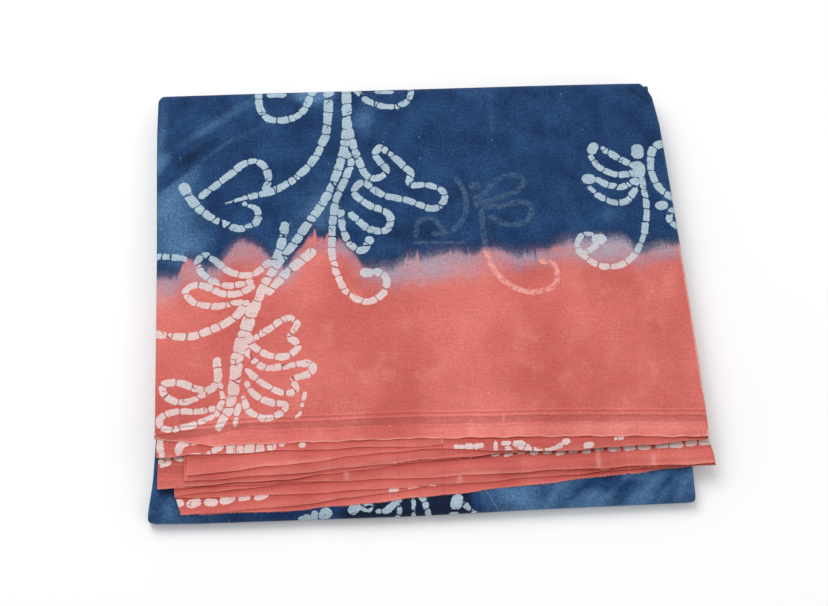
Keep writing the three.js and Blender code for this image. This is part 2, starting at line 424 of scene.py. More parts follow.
# Short ways to add nodes to a tree
class Nodes:
    def node(self, kind, inputs=None, **settings):
        made = self.tree.nodes.new(kind)
        for key, value in settings.items():
            setattr(made, key, value)
        for key, value in (inputs or {}).items():
            self.put(made.inputs[key], value)
        return made

    def put(self, socket, value):
        if isinstance(value, bpy.types.NodeSocket):
            self.tree.links.new(value, socket)
        else:
            socket.default_value = value

    def calc(self, operation, a, b=0.0, c=0.0):
        return self.node("ShaderNodeMath", {0: a, 1: b, 2: c}, operation=operation).outputs[0]

    def times(self, a, b):
        return self.calc("MULTIPLY", a, b)

    def plus(self, a, b):
        return self.calc("ADD", a, b)

    def minus(self, a, b):
        return self.calc("SUBTRACT", a, b)

    def most(self, a, b):
        return self.calc("MAXIMUM", a, b)

    def scaled(self, a, factor, added):
        return self.calc("MULTIPLY_ADD", a, factor, added)

    def vector(self, operation, a, b):
        return self.node("ShaderNodeVectorMath", {0: a, 1: b}, operation=operation).outputs[0]

    def joined(self, x, y, z=0.0):
        return self.node("ShaderNodeCombineXYZ", {0: x, 1: y, 2: z}).outputs[0]

    def split(self, vector):
        return self.node("ShaderNodeSeparateXYZ", {0: vector}).outputs


class Shade(Nodes):
    def __init__(self, name):
        self.material = bpy.data.materials.new(name)
        self.material.use_nodes = True
        self.tree = self.material.node_tree
        self.shader = self.tree.nodes["Principled BSDF"]
        self.lay = self.node("ShaderNodeUVMap", uv_map="lay").outputs[0]

    def ease(self, value, low, high, start=0.0, end=1.0):
        inputs = {"Value": value, "From Min": low, "From Max": high, "To Min": start, "To Max": end}
        return self.node("ShaderNodeMapRange", inputs, interpolation_type="SMOOTHSTEP").outputs[0]

    def mix(self, factor, a, b, how="MIX"):
        made = self.node("ShaderNodeMix", data_type="RGBA", blend_type=how)
        self.put(made.inputs[0], factor)
        self.put(made.inputs[6], a)
        self.put(made.inputs[7], b)
        return made.outputs[2]

    # Noise between 0 and 1 on the cloth, at so many cells a metre across and along it
    def noise(self, across, along, detail=2.0, offset=0.0, rough=0.5):
        inputs = {0: self.lay, 1: (across, along, 1), 2: (offset, offset * 1.7, offset)}
        place = self.node("ShaderNodeVectorMath", inputs, operation="MULTIPLY_ADD").outputs[0]
        inputs = {"Vector": place, "Scale": 1.0, "Detail": detail, "Roughness": rough}
        return self.node("ShaderNodeTexNoise", inputs).outputs["Fac"]

    # The same about zero, and so strong
    def swing(self, across, along, strength, detail=2.0, offset=0.0, rough=0.5):
        return self.times(self.minus(self.noise(across, along, detail, offset, rough), 0.5), strength)

    # Distance to the edges of scattered cells, for cracks
    def cracks(self, vector, scale, spread):
        inputs = {"Vector": vector, "Scale": scale, "Randomness": spread}
        return self.node("ShaderNodeTexVoronoi", inputs, voronoi_dimensions="2D",
                         feature="DISTANCE_TO_EDGE").outputs["Distance"]

    def attribute(self, name, output="Fac"):
        return self.node("ShaderNodeAttribute", attribute_name=name).outputs[output]


dyes = {
    "deepBlue": colour(22, 48, 87),
    "midBlue": colour(36, 69, 111),
    "paleBlue": colour(78, 115, 154),
    "nightBlue": colour(20, 31, 58),
    "coral": colour(214, 115, 107),
    "deepCoral": colour(191, 92, 85),
    "lightCoral": colour(232, 147, 137),
    "paleCoral": colour(240, 190, 178),
    "mauve": colour(150, 112, 134),
    "lilac": colour(164, 155, 170),
    "plum": colour(58, 48, 84),
    "seeped": colour(120, 64, 84),
    "inkOnBlue": colour(174, 194, 205),
    "inkOnCoral": colour(220, 201, 198),
    "ghostBlue": colour(60, 83, 113),
    "ghostCoral": colour(226, 152, 146),
    "underCoral": (0.64, 0.3, 0.25, 1.0),      # these two multiply what lies in a lip's shadow
    "underBlue": (0.5, 0.52, 0.6, 1.0),
}

weave = {
    "perMetre": 2300.0,             # threads
    "bump": 0.4,
    "ridges": [9.5, 16.5, 20.0],    # selvedge ridges, millimetres in from the edge
    "ridgeWeights": [0.6, 1.0, 1.0],
    "ridgeHalf": 0.7,
    "beadLength": 10.6,
    "beadRound": (1.8, 0.9),        # this near a crack the line narrows by up to this
    "crackHalf": 0.3,
    "crackSoft": (0.16, 0.2),
    "crackWander": 3.6,
    "crackLength": 42.0,
    "swell": 0.3,                   # wax spreads a little past what was drawn
    "swellSoft": (0.2, 0.25),
}


# One drawn layer: how much wax, and how much of a crack in it. Cracks run mostly across and leave
# rounded beads.
def inkMask(s, layer, shared):
    field = s.split(s.attribute(layer, "Vector"))
    whole = s.calc("GREATER_THAN", field[2], wholeSide / 2)
    along = s.scaled(shared["wander"], weave["crackWander"], field[1])
    across = s.scaled(field[2], 1 / weave["crackLength"], 0.5)
    cells = s.joined(s.times(along, 1 / weave["beadLength"]), across)
    crack = s.times(s.cracks(cells, 1.0, 0.85), weave["beadLength"])
    crack = s.most(crack, s.times(whole, noInk))
    near, narrower = weave["beadRound"]
    edge = s.plus(field[0], s.ease(crack, 0.0, near, narrower, 0.0))
    edge = s.plus(s.plus(edge, shared["ragged"]), shared["uneven"])
    within, beyond = weave["swellSoft"]
    inside = s.ease(edge, weave["swell"] + beyond, weave["swell"] - within)
    crack = s.minus(crack, shared["gaping"])
    within, beyond = weave["crackSoft"]
    unbroken = s.ease(crack, weave["crackHalf"] - within, weave["crackHalf"] + beyond)
    unbroken = s.times(s.most(unbroken, shared["healed"]), shared["nicks"])
    wax = s.times(inside, unbroken)
    return wax, s.minus(inside, wax)


def clothMaterial(name, look):
    s = Shade(name)
    broad = s.noise(16, 13, 3.0, look["seed"])
    cloudy = s.noise(48, 40, 4.0, look["seed"] + 5, 0.62)
    fine = s.noise(520, 520, 4.0, look["seed"] + 9, 0.75)

    # threads: long slubs both ways
    weft = s.noise(110, 1800, 3.0, 31.0, 0.6)
    warp = s.noise(1800, 150, 3.0, 33.0, 0.6)
    threads = s.scaled(weft, 0.6, s.times(warp, 0.4))

    # coral, then indigo over it
    coral = s.mix(s.ease(broad, 0.3, 0.7), dyes["deepCoral"], dyes["coral"])
    coral = s.mix(s.ease(cloudy, 0.5, 0.8, 0.0, 0.35), coral, dyes["lightCoral"])
    blue = s.mix(s.ease(cloudy, 0.28, 0.72), dyes["deepBlue"], dyes["midBlue"])
    # the attribute below carries clouds of dye with painted light and shade mixed in
    wash = s.attribute("wash")
    soft = s.scaled(s.minus(broad, 0.5), 0.3, wash)
    soft = s.scaled(s.minus(cloudy, 0.5), look["mottle"], soft)
    blue = s.mix(s.ease(soft, 0.05, 1.0), blue, dyes["paleBlue"])
    blue = s.mix(s.ease(soft, -0.1, -1.0), blue, dyes["nightBlue"])
    coral = s.mix(s.ease(soft, 0.05, 1.0, 0.0, 0.85), coral, dyes["lightCoral"])
    coral = s.mix(s.ease(soft, -0.1, -1.0, 0.0, 0.85), coral, dyes["deepCoral"])

    # the dip's upper line: soft lobes, a few long feathers, threads that took more or less of it
    feathers = s.ease(s.noise(130, 9, 3.0, 2.0, 0.6), 0.56, 0.74)
    drips = s.ease(s.noise(170, 12, 3.0, 17.0, 0.6), 0.56, 0.74)
    lobes = s.noise(130, 90, 4.0, 4.0, 0.6)
    dye = s.attribute("dye")
    close = s.ease(s.calc("ABSOLUTE", dye), 15.0, 5.0)      # feathers end near the line
    line = s.scaled(s.times(feathers, close), -12.0, dye)
    line = s.scaled(s.times(drips, close), 5.0, line)
    line = s.scaled(s.minus(lobes, 0.5), 7.0, line)
    line = s.scaled(s.minus(threads, 0.5), 9.0, line)
    patches = s.noise(34, 60, 3.0, 8.0)
    bleeding = s.attribute("bleed")
    reach = s.scaled(bleeding, -12.0, -23.0)
    halo = s.times(s.ease(line, reach, -0.5), s.ease(line, 5.0, 0.5))
    streaks = s.ease(s.noise(26, 430, 3.0, 45.0, 0.65), 0.36, 0.62, 0.5, 1.0)
    halo = s.times(s.times(halo, streaks), s.ease(patches, 0.32, 0.62, 0.35, 1.0))
    halo = s.calc("MINIMUM", s.scaled(bleeding, 0.25, halo), 0.9)
    halo = s.times(halo, s.ease(line, reach, -0.5))
    coral = s.mix(halo, coral, s.mix(bleeding, dyes["mauve"], dyes["lilac"]))
    edge = s.times(s.ease(line, -1.0, 2.0), s.ease(line, 13.0, 2.0, 0.0, 0.6))
    blue = s.mix(edge, blue, s.mix(s.ease(patches, 0.4, 0.6), dyes["nightBlue"], dyes["plum"]))
    onBlue = s.ease(line, -3.4, 2.8)
    base = s.mix(onBlue, coral, blue)
    film = s.times(bleeding, s.ease(threads, 0.4, 0.62, 0.4, 0.85))
    film = s.times(film, s.times(s.ease(line, -36.0, -9.0), s.ease(line, 11.0, 1.0)))
    base = s.mix(film, base, dyes["lilac"])

    # a drawing on the layer below showing faintly through
    ghost = s.ease(s.attribute("ghost"), 0.5, -0.7)
    ghost = s.times(ghost, s.ease(s.noise(230, 230, 2.0, 6.0), 0.34, 0.58, 0.25, 1.0))
    base = s.mix(ghost, base, s.mix(onBlue, dyes["ghostCoral"], dyes["ghostBlue"]))

    # wax lines, greyer where they run over blue
    shared = {
        "wander": s.noise(150, 150, 2.0),
        "nicks": s.most(s.ease(s.cracks(s.lay, 165.0, 1.0), 0.03, 0.08, 0.15, 1.0),
                        s.ease(s.noise(85, 85, 2.0, 53.0), 0.66, 0.6)),
        "gaping": s.ease(s.noise(55, 55, 2.0, 61.0), 0.54, 0.74, 0.0, 0.4),
        "uneven": s.swing(110, 110, 3.2, 3.0, 14.0, 0.6),
        "ragged": s.swing(800, 800, 1.0, 2.0, 3.0),
        "healed": s.ease(s.noise(60, 60, 2.0, 11.0), 0.6, 0.7, 0.0, 0.7),
    }
    ink = cracked = 0.0
    for layer in look["ink"]:
        wax, crack = inkMask(s, layer, shared)
        ink = s.most(wax, ink)
        cracked = s.most(crack, cracked)
    grain = s.noise(650, 650, 3.0, 21.0, 0.7)
    inkColour = s.mix(s.ease(line, -32.0, 16.0), dyes["inkOnCoral"], dyes["inkOnBlue"])
    inkColour = s.mix(s.ease(s.noise(38, 38, 2.0, 51.0), 0.4, 0.7, 0.0, 0.16), inkColour, base)
    inkColour = s.mix(s.ease(grain, 0.42, 0.75, 0.0, 0.34), inkColour, base)
    base = s.mix(s.times(ink, 0.97), base, inkColour)

    # dye that seeped into the cracks
    cracked = s.times(s.times(cracked, s.minus(1.0, ink)), 0.5)
    base = s.mix(cracked, base, s.mix(onBlue, dyes["seeped"], dyes["nightBlue"]))

    # grain, most of it in the indigo and least on the wax lines
    speckle = s.times(s.minus(fine, 0.5), look["grain"])
    speckle = s.times(speckle, s.scaled(onBlue, 1.6, 0.7))
    speckle = s.times(speckle, s.scaled(ink, -0.7, 1.0))
    tone = s.scaled(s.minus(threads, 0.5), look["slub"], speckle)
    thickWeft = s.ease(s.noise(26, 1100, 2.0, 27.0), 0.58, 0.72)
    tone = s.scaled(thickWeft, -0.13, tone)

    # selvedge: a plain paler band, a darker one, then fine woven ridges
    inward = s.times(s.split(s.lay)[1], 1 / mm)
    inward = s.scaled(s.minus(broad, 0.5), 1.2, inward)
    ridges = 0.0
    for place, weight in zip(weave["ridges"], weave["ridgeWeights"]):
        crest = s.calc("ABSOLUTE", s.minus(inward, place))
        ridges = s.plus(ridges, s.ease(crest, 0.85, 0.15, 0.0, weight))
        groove = s.calc("ABSOLUTE", s.minus(inward, place - 1.4))
        ridges = s.minus(ridges, s.ease(groove, 1.0, 0.15, 0.0, 0.9 * weight))
    darker = s.times(s.ease(inward, 9.6, 10.6), s.ease(inward, 16.0, 14.2))
    band = s.minus(s.ease(inward, 9.4, 8.2), darker)
    tone = s.scaled(ridges, look["ridge"], tone)
    tone = s.scaled(band, look["ridge"] * 0.75, tone)
    tone = s.plus(tone, 1.0)
    toned = s.node("ShaderNodeVectorMath", {0: base, 3: tone}, operation="SCALE").outputs[0]

    # light between coral layers goes deep red, a painted shade from the shade attribute; folds and lips are
    # paler, partly rubbed and partly a painted highlight
    shaded = s.times(s.attribute("shade"), s.scaled(ink, -0.7, 1.0))
    toned = s.mix(shaded, toned, s.mix(onBlue, dyes["underCoral"], dyes["underBlue"]), "MULTIPLY")
    uneven = s.ease(s.noise(90, 240, 3.0, 41.0), 0.3, 0.6, 0.45, 1.0)
    rubbedAndLit = s.times(s.attribute("wear"), uneven)
    toned = s.mix(rubbedAndLit, toned, s.mix(onBlue, dyes["paleCoral"], dyes["paleBlue"]))

    # a few pale specks of lint
    inputs = {"Vector": s.lay, "Scale": 70.0}
    cells = s.node("ShaderNodeTexVoronoi", inputs, voronoi_dimensions="2D").outputs
    number = s.node("ShaderNodeSeparateColor", {0: cells["Color"]}).outputs[0]
    chosen = s.calc("GREATER_THAN", number, 0.93)
    speck = s.times(s.ease(cells["Distance"], 0.034, 0.018, 0.0, 0.7), chosen)
    toned = s.mix(speck, toned, s.mix(onBlue, dyes["paleCoral"], dyes["inkOnBlue"]))

    # weave bump: threads over and under
    pace = weave["perMetre"] * math.pi
    spot = s.vector("MULTIPLY", s.lay, (pace, pace, 0.0))
    cross = s.split(s.vector("SINE", spot, (0, 0, 0)))
    check = s.times(cross[0], cross[1])
    height = s.plus(s.times(check, 0.35), s.times(threads, 1.5))
    height = s.scaled(ridges, 0.9, height)
    height = s.scaled(cloudy, 2.0, height)
    bump = s.node("ShaderNodeBump", {"Strength": weave["bump"], "Distance": 0.00022, "Height": height})

    finish = {"Base Color": toned, "Normal": bump.outputs[0],
              "Roughness": s.ease(fine, 0.2, 0.8, 0.84, 0.95), "Specular IOR Level": 0.1,
              "Sheen Weight": 0.06, "Sheen Roughness": 0.5}
    for socket, value in finish.items():
        s.put(s.shader.inputs[socket], value)
    return s.material


# How strongly each cloth shows its threads, grain, selvedge ridges and mottled dye, and its drawn layers
looks = {
    "dippedCotton": {"seed": 3.0, "slub": 0.8, "grain": 1.25, "ridge": 0.19, "mottle": 0.4,
                     "ink": ("inkA", "inkB", "inkC")},
    "indigoCotton": {"seed": 12.0, "slub": 0.7, "grain": 1.1, "ridge": 0.0, "mottle": 0.9,
                     "ink": ("inkA", "inkB")},
    "coralCotton": {"seed": 24.0, "slub": 0.65, "grain": 0.85, "ridge": 0.12, "mottle": 0.5,
                    "ink": ("inkA", "inkB")},
    "foldedCotton": {"seed": 31.0, "slub": 0.45, "grain": 0.3, "ridge": 0.0, "mottle": 0.5, "ink": ()},
}
topMaterial, baseMaterial, borderMaterial, layerMaterial = (
    clothMaterial(name, look) for name, look in looks.items())
print("materials made")


def vine():
    return [
        # twin stems from the far fold; the right one runs on as the trunk and opens at its foot
        strand([(-71, 214), (-72, 150), (-76, 125), (-89, 101), (-112, 83), (-150, 72)],
               8.0, 7.6, 6.6, 5.6, 5.2, 5.8, 1.4),
        strand([(-59, 214), (-57, 150), (-61, 112), (-73, 76), (-96, 38), (-118, 4), (-126, -18)],
               8.2, 7.2, 6.2, 6.0, 6.4, 5.4, 6.6),
        strand([(-126, -14), (-132, -34), (-138, -56), (-140, -82), (-143, -98), (-150, -112)],
               7.0, 9.4, 8.0, 8.2, 8.2, 6.4, 4.6),
        strand([(-136.5, -96), (-138.5, -110)], 3.4, 3.0),
        # arrow-shaped leaf
        strand([(-121, 80), (-118, 96), (-126, 108), (-138, 106), (-152, 93), (-169, 79)],
               5.4, 5.0, 5.2, 4.8),
        strand([(-136, 71), (-126, 65), (-127, 54), (-139, 49), (-153, 55), (-167, 64), (-177, 76),
                (-183, 87)], 3.6, 4.8, 5.0, 5.2, 6.8, 7.8),
        # ringed flowers, half over the far fold
        strand([(-128, 186), (-126, 160), (-118, 148), (-104, 147), (-91, 156), (-80, 186)], 5.2),
        blob(-113, 171, 7.4, 8.0),
        strand([(-52, 178), (-42, 165), (-28, 158), (-14, 159), (-6, 169), (-7, 188)], 4.8),
        blob(-27, 172, 5.5, 9.0, -6),
        # hooked leaf on the right
        strand([(-57, 146), (-50, 114), (-42, 93), (-32, 92), (-27, 99), (-35, 112), (-30, 119), (-14, 102),
                (-8, 96), (-9, 85), (4, 84), (15, 80), (17, 70), (8, 63), (-12, 71), (-30, 76), (-45, 87),
                (-52, 79), (-42, 68), (-26, 59), (-27, 46), (-40, 46), (-54, 59)],
               5.6, 4.8, 5.2, 4.8, 5.0, 5.0, 5.2),
        strand([(-62, 64), (-61, 47), (-55, 33), (-46, 28), (-41, 37)], 4.8, 4.6, 4.8, 6.2),
        # long tendril down into the coral
        strand([(-60, 118), (-54, 107), (-58, 93), (-66, 72), (-69, 45), (-68, 18), (-59, -6), (-43, -15),
                (-31, -8), (-29, 4), (-36, 10)], 4.8, 5.0, 4.8, 4.6, 5.2),
        blob(-43, 9, 7.0, 3.0),
        # buds on the trunk
        strand([(-105, 51), (-107, 36), (-113, 19)], 6.4, 6.0, 4.6),
        strand([(-85, 27), (-101, 12), (-116, -5)], 7.2, 6.6, 5.4),
        # two long leaves to the left, and the line that runs off round the fold
        strand([(-114, 22), (-128, 10), (-143, 11), (-156, 21), (-164, 27), (-170, 22), (-167, 13),
                (-159, 6), (-146, 1), (-130, 3)], 4.8, 4.8, 4.4),
        strand([(-129, -1), (-138, -6), (-150, -6), (-162, 0), (-172, 2), (-178, -4), (-170, -13),
                (-154, -16), (-137, -13)], 5.0, 5.0, 4.4, 4.6),
        strand([(-133, -14), (-140, -25), (-155, -34), (-172, -40), (-190, -39), (-212, -34)],
               5.4, 5.8, 5.4, 4.6),
        strand([(-212, 27), (-192, 27), (-178, 24)], 5.4, 4.2),
        # leaves right of the trunk
        strand([(-124, -42), (-113, -34), (-102, -27), (-95, -32), (-100, -42), (-94, -50), (-102, -58),
                (-116, -57), (-127, -49), (-131, -40)], 4.4, 4.4, 4.8, 4.6, 5.0),
        strand([(-134, -47), (-127, -60), (-116, -67), (-98, -65), (-86, -64), (-84, -71), (-98, -76)],
               4.0, 4.6, 5.0, 5.2, 4.6),
        strand([(-97, -80), (-95, -85), (-104, -87), (-120, -79), (-130.5, -69)], 4.0, 4.4, 4.0),
        strand([(-131, -79), (-125, -88), (-114, -94), (-103, -96), (-107, -103), (-119, -106),
                (-129, -100), (-133, -90)], 3.6, 4.4, 4.4, 3.6),
        strand([(-89, -88), (-91, -97)], 2.4, 1.8),
        strand([(-92, -102), (-95, -106)], 1.6),
        # frond left of the trunk
        strand([(-153, -60), (-152, -74), (-157, -83), (-167, -82), (-180, -77), (-190, -77), (-191, -84),
                (-183, -91), (-171, -91), (-158, -84)], 5.4, 4.8, 5.2, 4.6, 4.0, 4.2),
        strand([(-150, -80), (-148, -91), (-152, -102)], 3.6, 3.6),
        strand([(-155, -98), (-166, -100), (-181, -99), (-192, -103), (-190, -111), (-178, -112),
                (-164, -108), (-155, -104)], 3.8, 4.2, 4.4, 3.6),
        # spray at the right
        blob(170, 112, 9.0, 3.5, 90), blob(169.5, 95.5, 9.0, 5.5, 90),
        strand([(165, 99), (153, 107), (143, 114)], 5.6, 5.4),
        blob(135, 115, 7.4, 3.0, 60),
        strand([(133, 107), (139, 97), (151, 91), (164, 92)], 4.0, 5.0, 5.2),
        strand([(166, 85), (155, 80), (145, 81), (137, 86)], 5.2, 5.6, 4.8),
        blob(129.5, 87, 7.8, 2.0),
        strand([(130, 79), (137, 71), (147, 66), (157, 67), (163, 75), (166, 83)], 3.6, 4.4, 5.0, 4.8),
        strand([(171, 87), (172, 65), (169, 42), (162, 25), (149, 12), (133, 11), (120, 20), (116, 30),
                (121, 38), (128, 38)], 4.0, 4.4, 4.6, 4.0, 4.4, 4.4, 4.2, 3.2),
        blob(133, 34, 8.4, 3.0),
        strand([(130, 28), (120, 21)], 4.2),
        # loops that run off round the right-hand fold
        strand([(202, 120), (189, 119), (181, 111), (179, 94), (183, 80), (190, 72), (203, 65)],
               5.4, 6.0, 4.8, 5.4, 4.8),
        blob(184, 63, 6.4, 3.0, 10),
        strand([(201, 60), (192, 59), (189, 50), (201, 37)], 4.6),
    ]


# The vine on the cloth underneath, seen faintly
def ghostVine():
    return [
        strand([(27, 90), (33, 76), (32, 56), (20, 42), (8, 41)], 4.4),
        blob(41, 83, 7.5, 2.0),
        blob(43, 69, 8.0, 5.0, 90),
        strand([(46, 73), (56, 86), (68, 92), (78, 88), (74, 78), (60, 72), (48, 68)], 4.8),
        strand([(47, 64), (60, 64), (76, 68), (84, 62), (78, 50), (64, 48), (52, 55)], 4.8),
        strand([(45, 60), (46, 36), (50, 14), (62, -3), (80, -10), (97, -4), (98, 12), (88, 16)], 4.4),
        strand([(-6, 40), (-3, 52), (8, 54), (15, 44)], 4.0),
        strand([(-6, 34), (30, 33)], 2.8),
    ]


top = {
    "thick": 0.42,
    "wide": 400.0,
    "spacing": 1.36,                # grid lines: across, then along in its four parts
    "selvedgeRows": 0.75,
    "inkRows": 1.35,
    "turnRows": 0.11,               # radians
    "underRows": 5.0,
    "selvedgeBand": 23.0,
    "leftRoll": 1.5,                # the folded ends: few layers at the left, a whole stack at the right
    "rightRoll": (1.0, 3.1),        # small over the fanned selvedges, full further back
    "rollGrows": (22.0, 38.0),
    "flatRun": 289.0,               # from the selvedge to where the far fold starts to turn
    "turnRadius": 14.0,
    "creaseEnd": 262.0,             # creases and waves fade out before the turn
    "tuckedCorners": {"left": [(3.0, 167, 179)], "right": [(1.0, 164, 168), (5.0, 167, 178)]},
    "tuck": 3.6,
    "reach": 13.0,
    "foldPower": 0.72,
    "under": 45.0,
    "lipRise": 9.0,                 # how far in from its lip it is back at full height
    "lipGap": 0.08,
    "slant": 13.0,                  # the selvedge's ridges run off over the lip towards the left end
    "slantFrom": -135.0,
    "slantRun": 60.0,
    "ridgeHeight": 0.13,
    "ripples": [(0.22, 85, 5), (0.08, 24, 8)],
    "dipRun": 283.0,                # further than this from the selvedge all is blue
    "cloudRun": (290.0, 320.0),     # clouds fade out over the far fold
    # paler rolled ends, coral right end and lip: partly rubbed, partly a painted highlight
    "rubbedAndLit": {"coralEnd": 0.9, "ends": 0.25, "lip": 0.45, "oldFold": 0.5},
    "oldFoldAt": 52.0,
    "lipDies": 2.5,
    "mostDrop": 2.8,
    "selvedgeWave": 0.28,
}

# Where the indigo dip ended: (place across, how far up it came), with small lobes between
dipLine = {
    "stops": [(-212, 12), (-190, 7), (-183, 11), (-176, 26), (-170, 17), (-155, 15), (-148, 25),
              (-139, 42), (-122, 30), (-104, 13), (-88, 41), (-62, 36), (-42, 11), (-26, 12), (-10, 19),
              (14, 22), (26, 28), (34, 18), (46, 30), (74, 20), (110, 32), (152, 31), (165, 20),
              (180, 27), (212, 31)],
    "lobe": 2.6,
    "lobeLength": 23.0,
}

# Pale lilac where the blue crept into the coral: centre, half sizes, strength
bleeds = [
    (4, 9, 42, 16, 0.9), (139, 27, 27, 15, 1.3), (-138, 26, 16, 12, 0.55), (-168, 12, 15, 10, 0.6),
    (-196, -2, 14, 14, 0.6), (-102, 8, 17, 12, 0.6), (184, 26, 12, 9, 0.55), (78, 20, 30, 8, 0.4),
    (-62, 30, 12, 7, 0.4),
]

# Paler (+) and darker (-) clouds, partly of dye and partly painted light and shade: centre, half sizes,
# strength
clouds = [
    (-190, 60, 22, 34, 0.7), (-178, 32, 22, 16, 0.45), (-80, 60, 16, 26, 0.5), (-112, 35, 20, 14, 0.4),
    (-203, 128, 6, 40, 0.5), (-140, 150, 40, 22, 0.1), (-44, 146, 10, 18, 0.6), (-88, 172, 12, 10, 0.7),
    (57, 143, 5, 20, 0.3), (48, 168, 22, 6, 0.2), (0, -10, 60, 24, -0.4), (-80, 172, 16, 9, 0.9),
    (100, 75, 10, 28, 0.15), (150, 58, 18, 14, 0.3), (188, 75, 7, 16, 0.5), (150, 125, 60, 50, -0.35),
    (20, 75, 30, 30, -0.2), (-150, 100, 14, 12, -0.3), (-10, 40, 34, 12, -0.4),
    (-120, 42, 10, 10, -0.4), (-182, 118, 12, 14, -0.35), (84, 25, 20, 14, -0.3),
    (-196, -8, 10, 14, 0.5), (-60, -30, 40, 18, -0.25), (40, -60, 60, 40, -0.2),
    (-20, -20, 30, 16, -0.15), (150, -10, 40, 14, 0.25), (100, -90, 70, 14, 0.1),
    (-150, -113, 60, 9, -0.4), (110, -119, 100, 7, 0.55), (-60, -121, 60, 4, 0.25),
    (-150, -55, 26, 20, 0.15), (-176, -70, 22, 30, -0.25), (-110, -20, 16, 12, -0.3),
]

# Soft creases: centre, heading, half length, half width, height (trough if negative)
topCreases = [
    (-178, 130, 40, 60, 6.0, 0.45), (-168, 122, 40, 52, 7.0, -0.4), (-186, 84, 52, 34, 5.0, 0.35),
    (-172, 108, 44, 44, 3.0, 0.35), (-140, 132, 30, 40, 3.5, 0.2), (176, 166, -42, 14, 2.0, -0.5),
    (-152, -119, 12, 40, 1.8, 0.34), (-138, -113, 9, 46, 1.8, -0.28), (-166, -106, -20, 30, 3.0, 0.2),
    (-120, -117, 4, 56, 1.4, 0.22), (-166, -110, 6, 34, 1.5, -0.26), (-70, -119, 2, 60, 1.3, -0.22),
    (-190, -60, -28, 30, 4.0, 0.3), (46, 60, 90, 90, 3.0, -0.18), (62, -60, 90, 60, 4.0, 0.16),
    (52, -118, 88, 9, 1.2, -0.3), (29, -116, 94, 8, 3.0, 0.25), (143, 100, 86, 70, 4.0, 0.2),
    (160, -40, 78, 60, 5.0, 0.22), (-40, 100, 70, 50, 6.0, 0.2), (172, 150, -50, 22, 3.0, 0.35),
    (-60, -80, 4, 60, 5.0, 0.18), (110, 10, -6, 60, 6.0, -0.2), (60, -108, 1, 90, 1.6, 0.16),
    (120, -103, 0, 80, 1.8, -0.14),
]


# Height of the creases at a point; each bends a little along its length
def creased(x, y, creases):
    total = 0
    for cx, cy, heading, length, width, height in creases:
        c, s = math.cos(math.radians(heading)), math.sin(math.radians(heading))
        along = (x - cx) * c + (y - cy) * s
        aside = -(x - cx) * s + (y - cy) * c + 0.0009 * along ** 2
        total = total + height * np.exp(-(along / length) ** 4) * hump(aside, 0, width)
    return total


# Ripples of the cloth as (height, length, seed)
def rippled(x, y, ripples):
    return sum(height * waves(x, y, length, seed) for height, length, seed in ripples)


def clouded(x, y, spots):
    total = 0
    for cx, cy, width, depth, strength in spots:
        total = total + strength * np.exp(-((x - cx) / width) ** 2 - ((y - cy) / depth) ** 2)
    return total


# How far up the dip came at a place across
def dipLevel(x):
    places, levels = zip(*dipLine["stops"])
    level = sum(np.interp(x + shift, places, levels) for shift in (-3, -1, 1, 3)) / 4
    lobes = np.abs(np.sin(x * math.pi / dipLine["lobeLength"])) + 0.5 * np.abs(np.sin(x * 0.29 + 1))
    return level + dipLine["lobe"] * (lobes - 0.95)


fan = {
    "count": 10,
    "thick": 0.28,
    "spacing": 1.7,
    "lipRows": 0.95,
    "rollRadius": 0.32,
    "tuck": 6.0,
    "gap": 0.06,                    # between a lip and the stretch it lies on
    "lift": 0.26,                   # some of each lip stands off a little more
    "rise": 6.0,                    # how far in from its lip a stretch is back at full height
    "mostDrop": 2.6,
    "ruffle": 0.1,
    "ridgeHeight": 0.09,
    "shades": [(0.55, 0.8), (0.42, 3.4)],
    "darker": 0.55,                 # these stretches are darker all over
    # the first adds a painted highlight near each stretch's own lip, the second painted shade further in,
    # under the lip above
    "lipPaintedLight": 0.6,
    "inwardPaintedShade": 0.4,
    "mottle": 0.35,
    "mottleLength": 120.0,
    # paler rolled ends and lip rims: partly rubbed, partly a painted highlight
    "rubbedAndLit": {"ends": 0.3, "lip": 0.14, "oldFold": 0.4},
    "oldFoldWidth": 1.5,
    "finePart": 26.0,               # fine rows this far in from the lip, coarse ones behind
    "behindRows": 0.14,
    "backRise": 14.0,
    "seed": 40,
}

# Long soft creases that run nearly along a selvedge: how many, and the span each measure is picked from
fanCreases = {
    "count": 5,
    "spans": {"at": (-180, 190), "inward": (2, 16), "slope": (-0.08, 0.08), "length": (40, 110),
              "height": (-0.34, 0.34), "width": (1.2, 2.4)},
}

# The ninth one's left end leans in towards its lip
slanted = {"index": 8, "run": 16.0, "y": (-172.5, -157.0, -150.0), "x": (-175.8, -181.2, -182.4)}


def slantedEnd(y):
    return np.interp(y, slanted["y"], slanted["x"])


# The fanned selvedges as the frame has them, from the top down
def readRibbon(index):
    points = nodePoints(f"border_{index + 1:02d}")
    left, right = points[:, 0].min(), points[:, 0].max()
    slants = index == slanted["index"]
    inside = points[points[:, 0] > left + (slanted["run"] if slants else 0)]
    return {
        "height": (points[:, 2] / settled(points[:, 0], points[:, 1])).max(),
        "back": points[:, 1].max(),
        "width": right - left,
        "edge": outline(inside, 1, -1, 9),
        "left": slantedEnd if slants else outline(points[points[:, 0] < -100], 0, -1, 9),
        "right": outline(points[points[:, 0] > right - 30], 0, 1, 9),
    }


ribbons = [readRibbon(index) for index in range(fan["count"])]


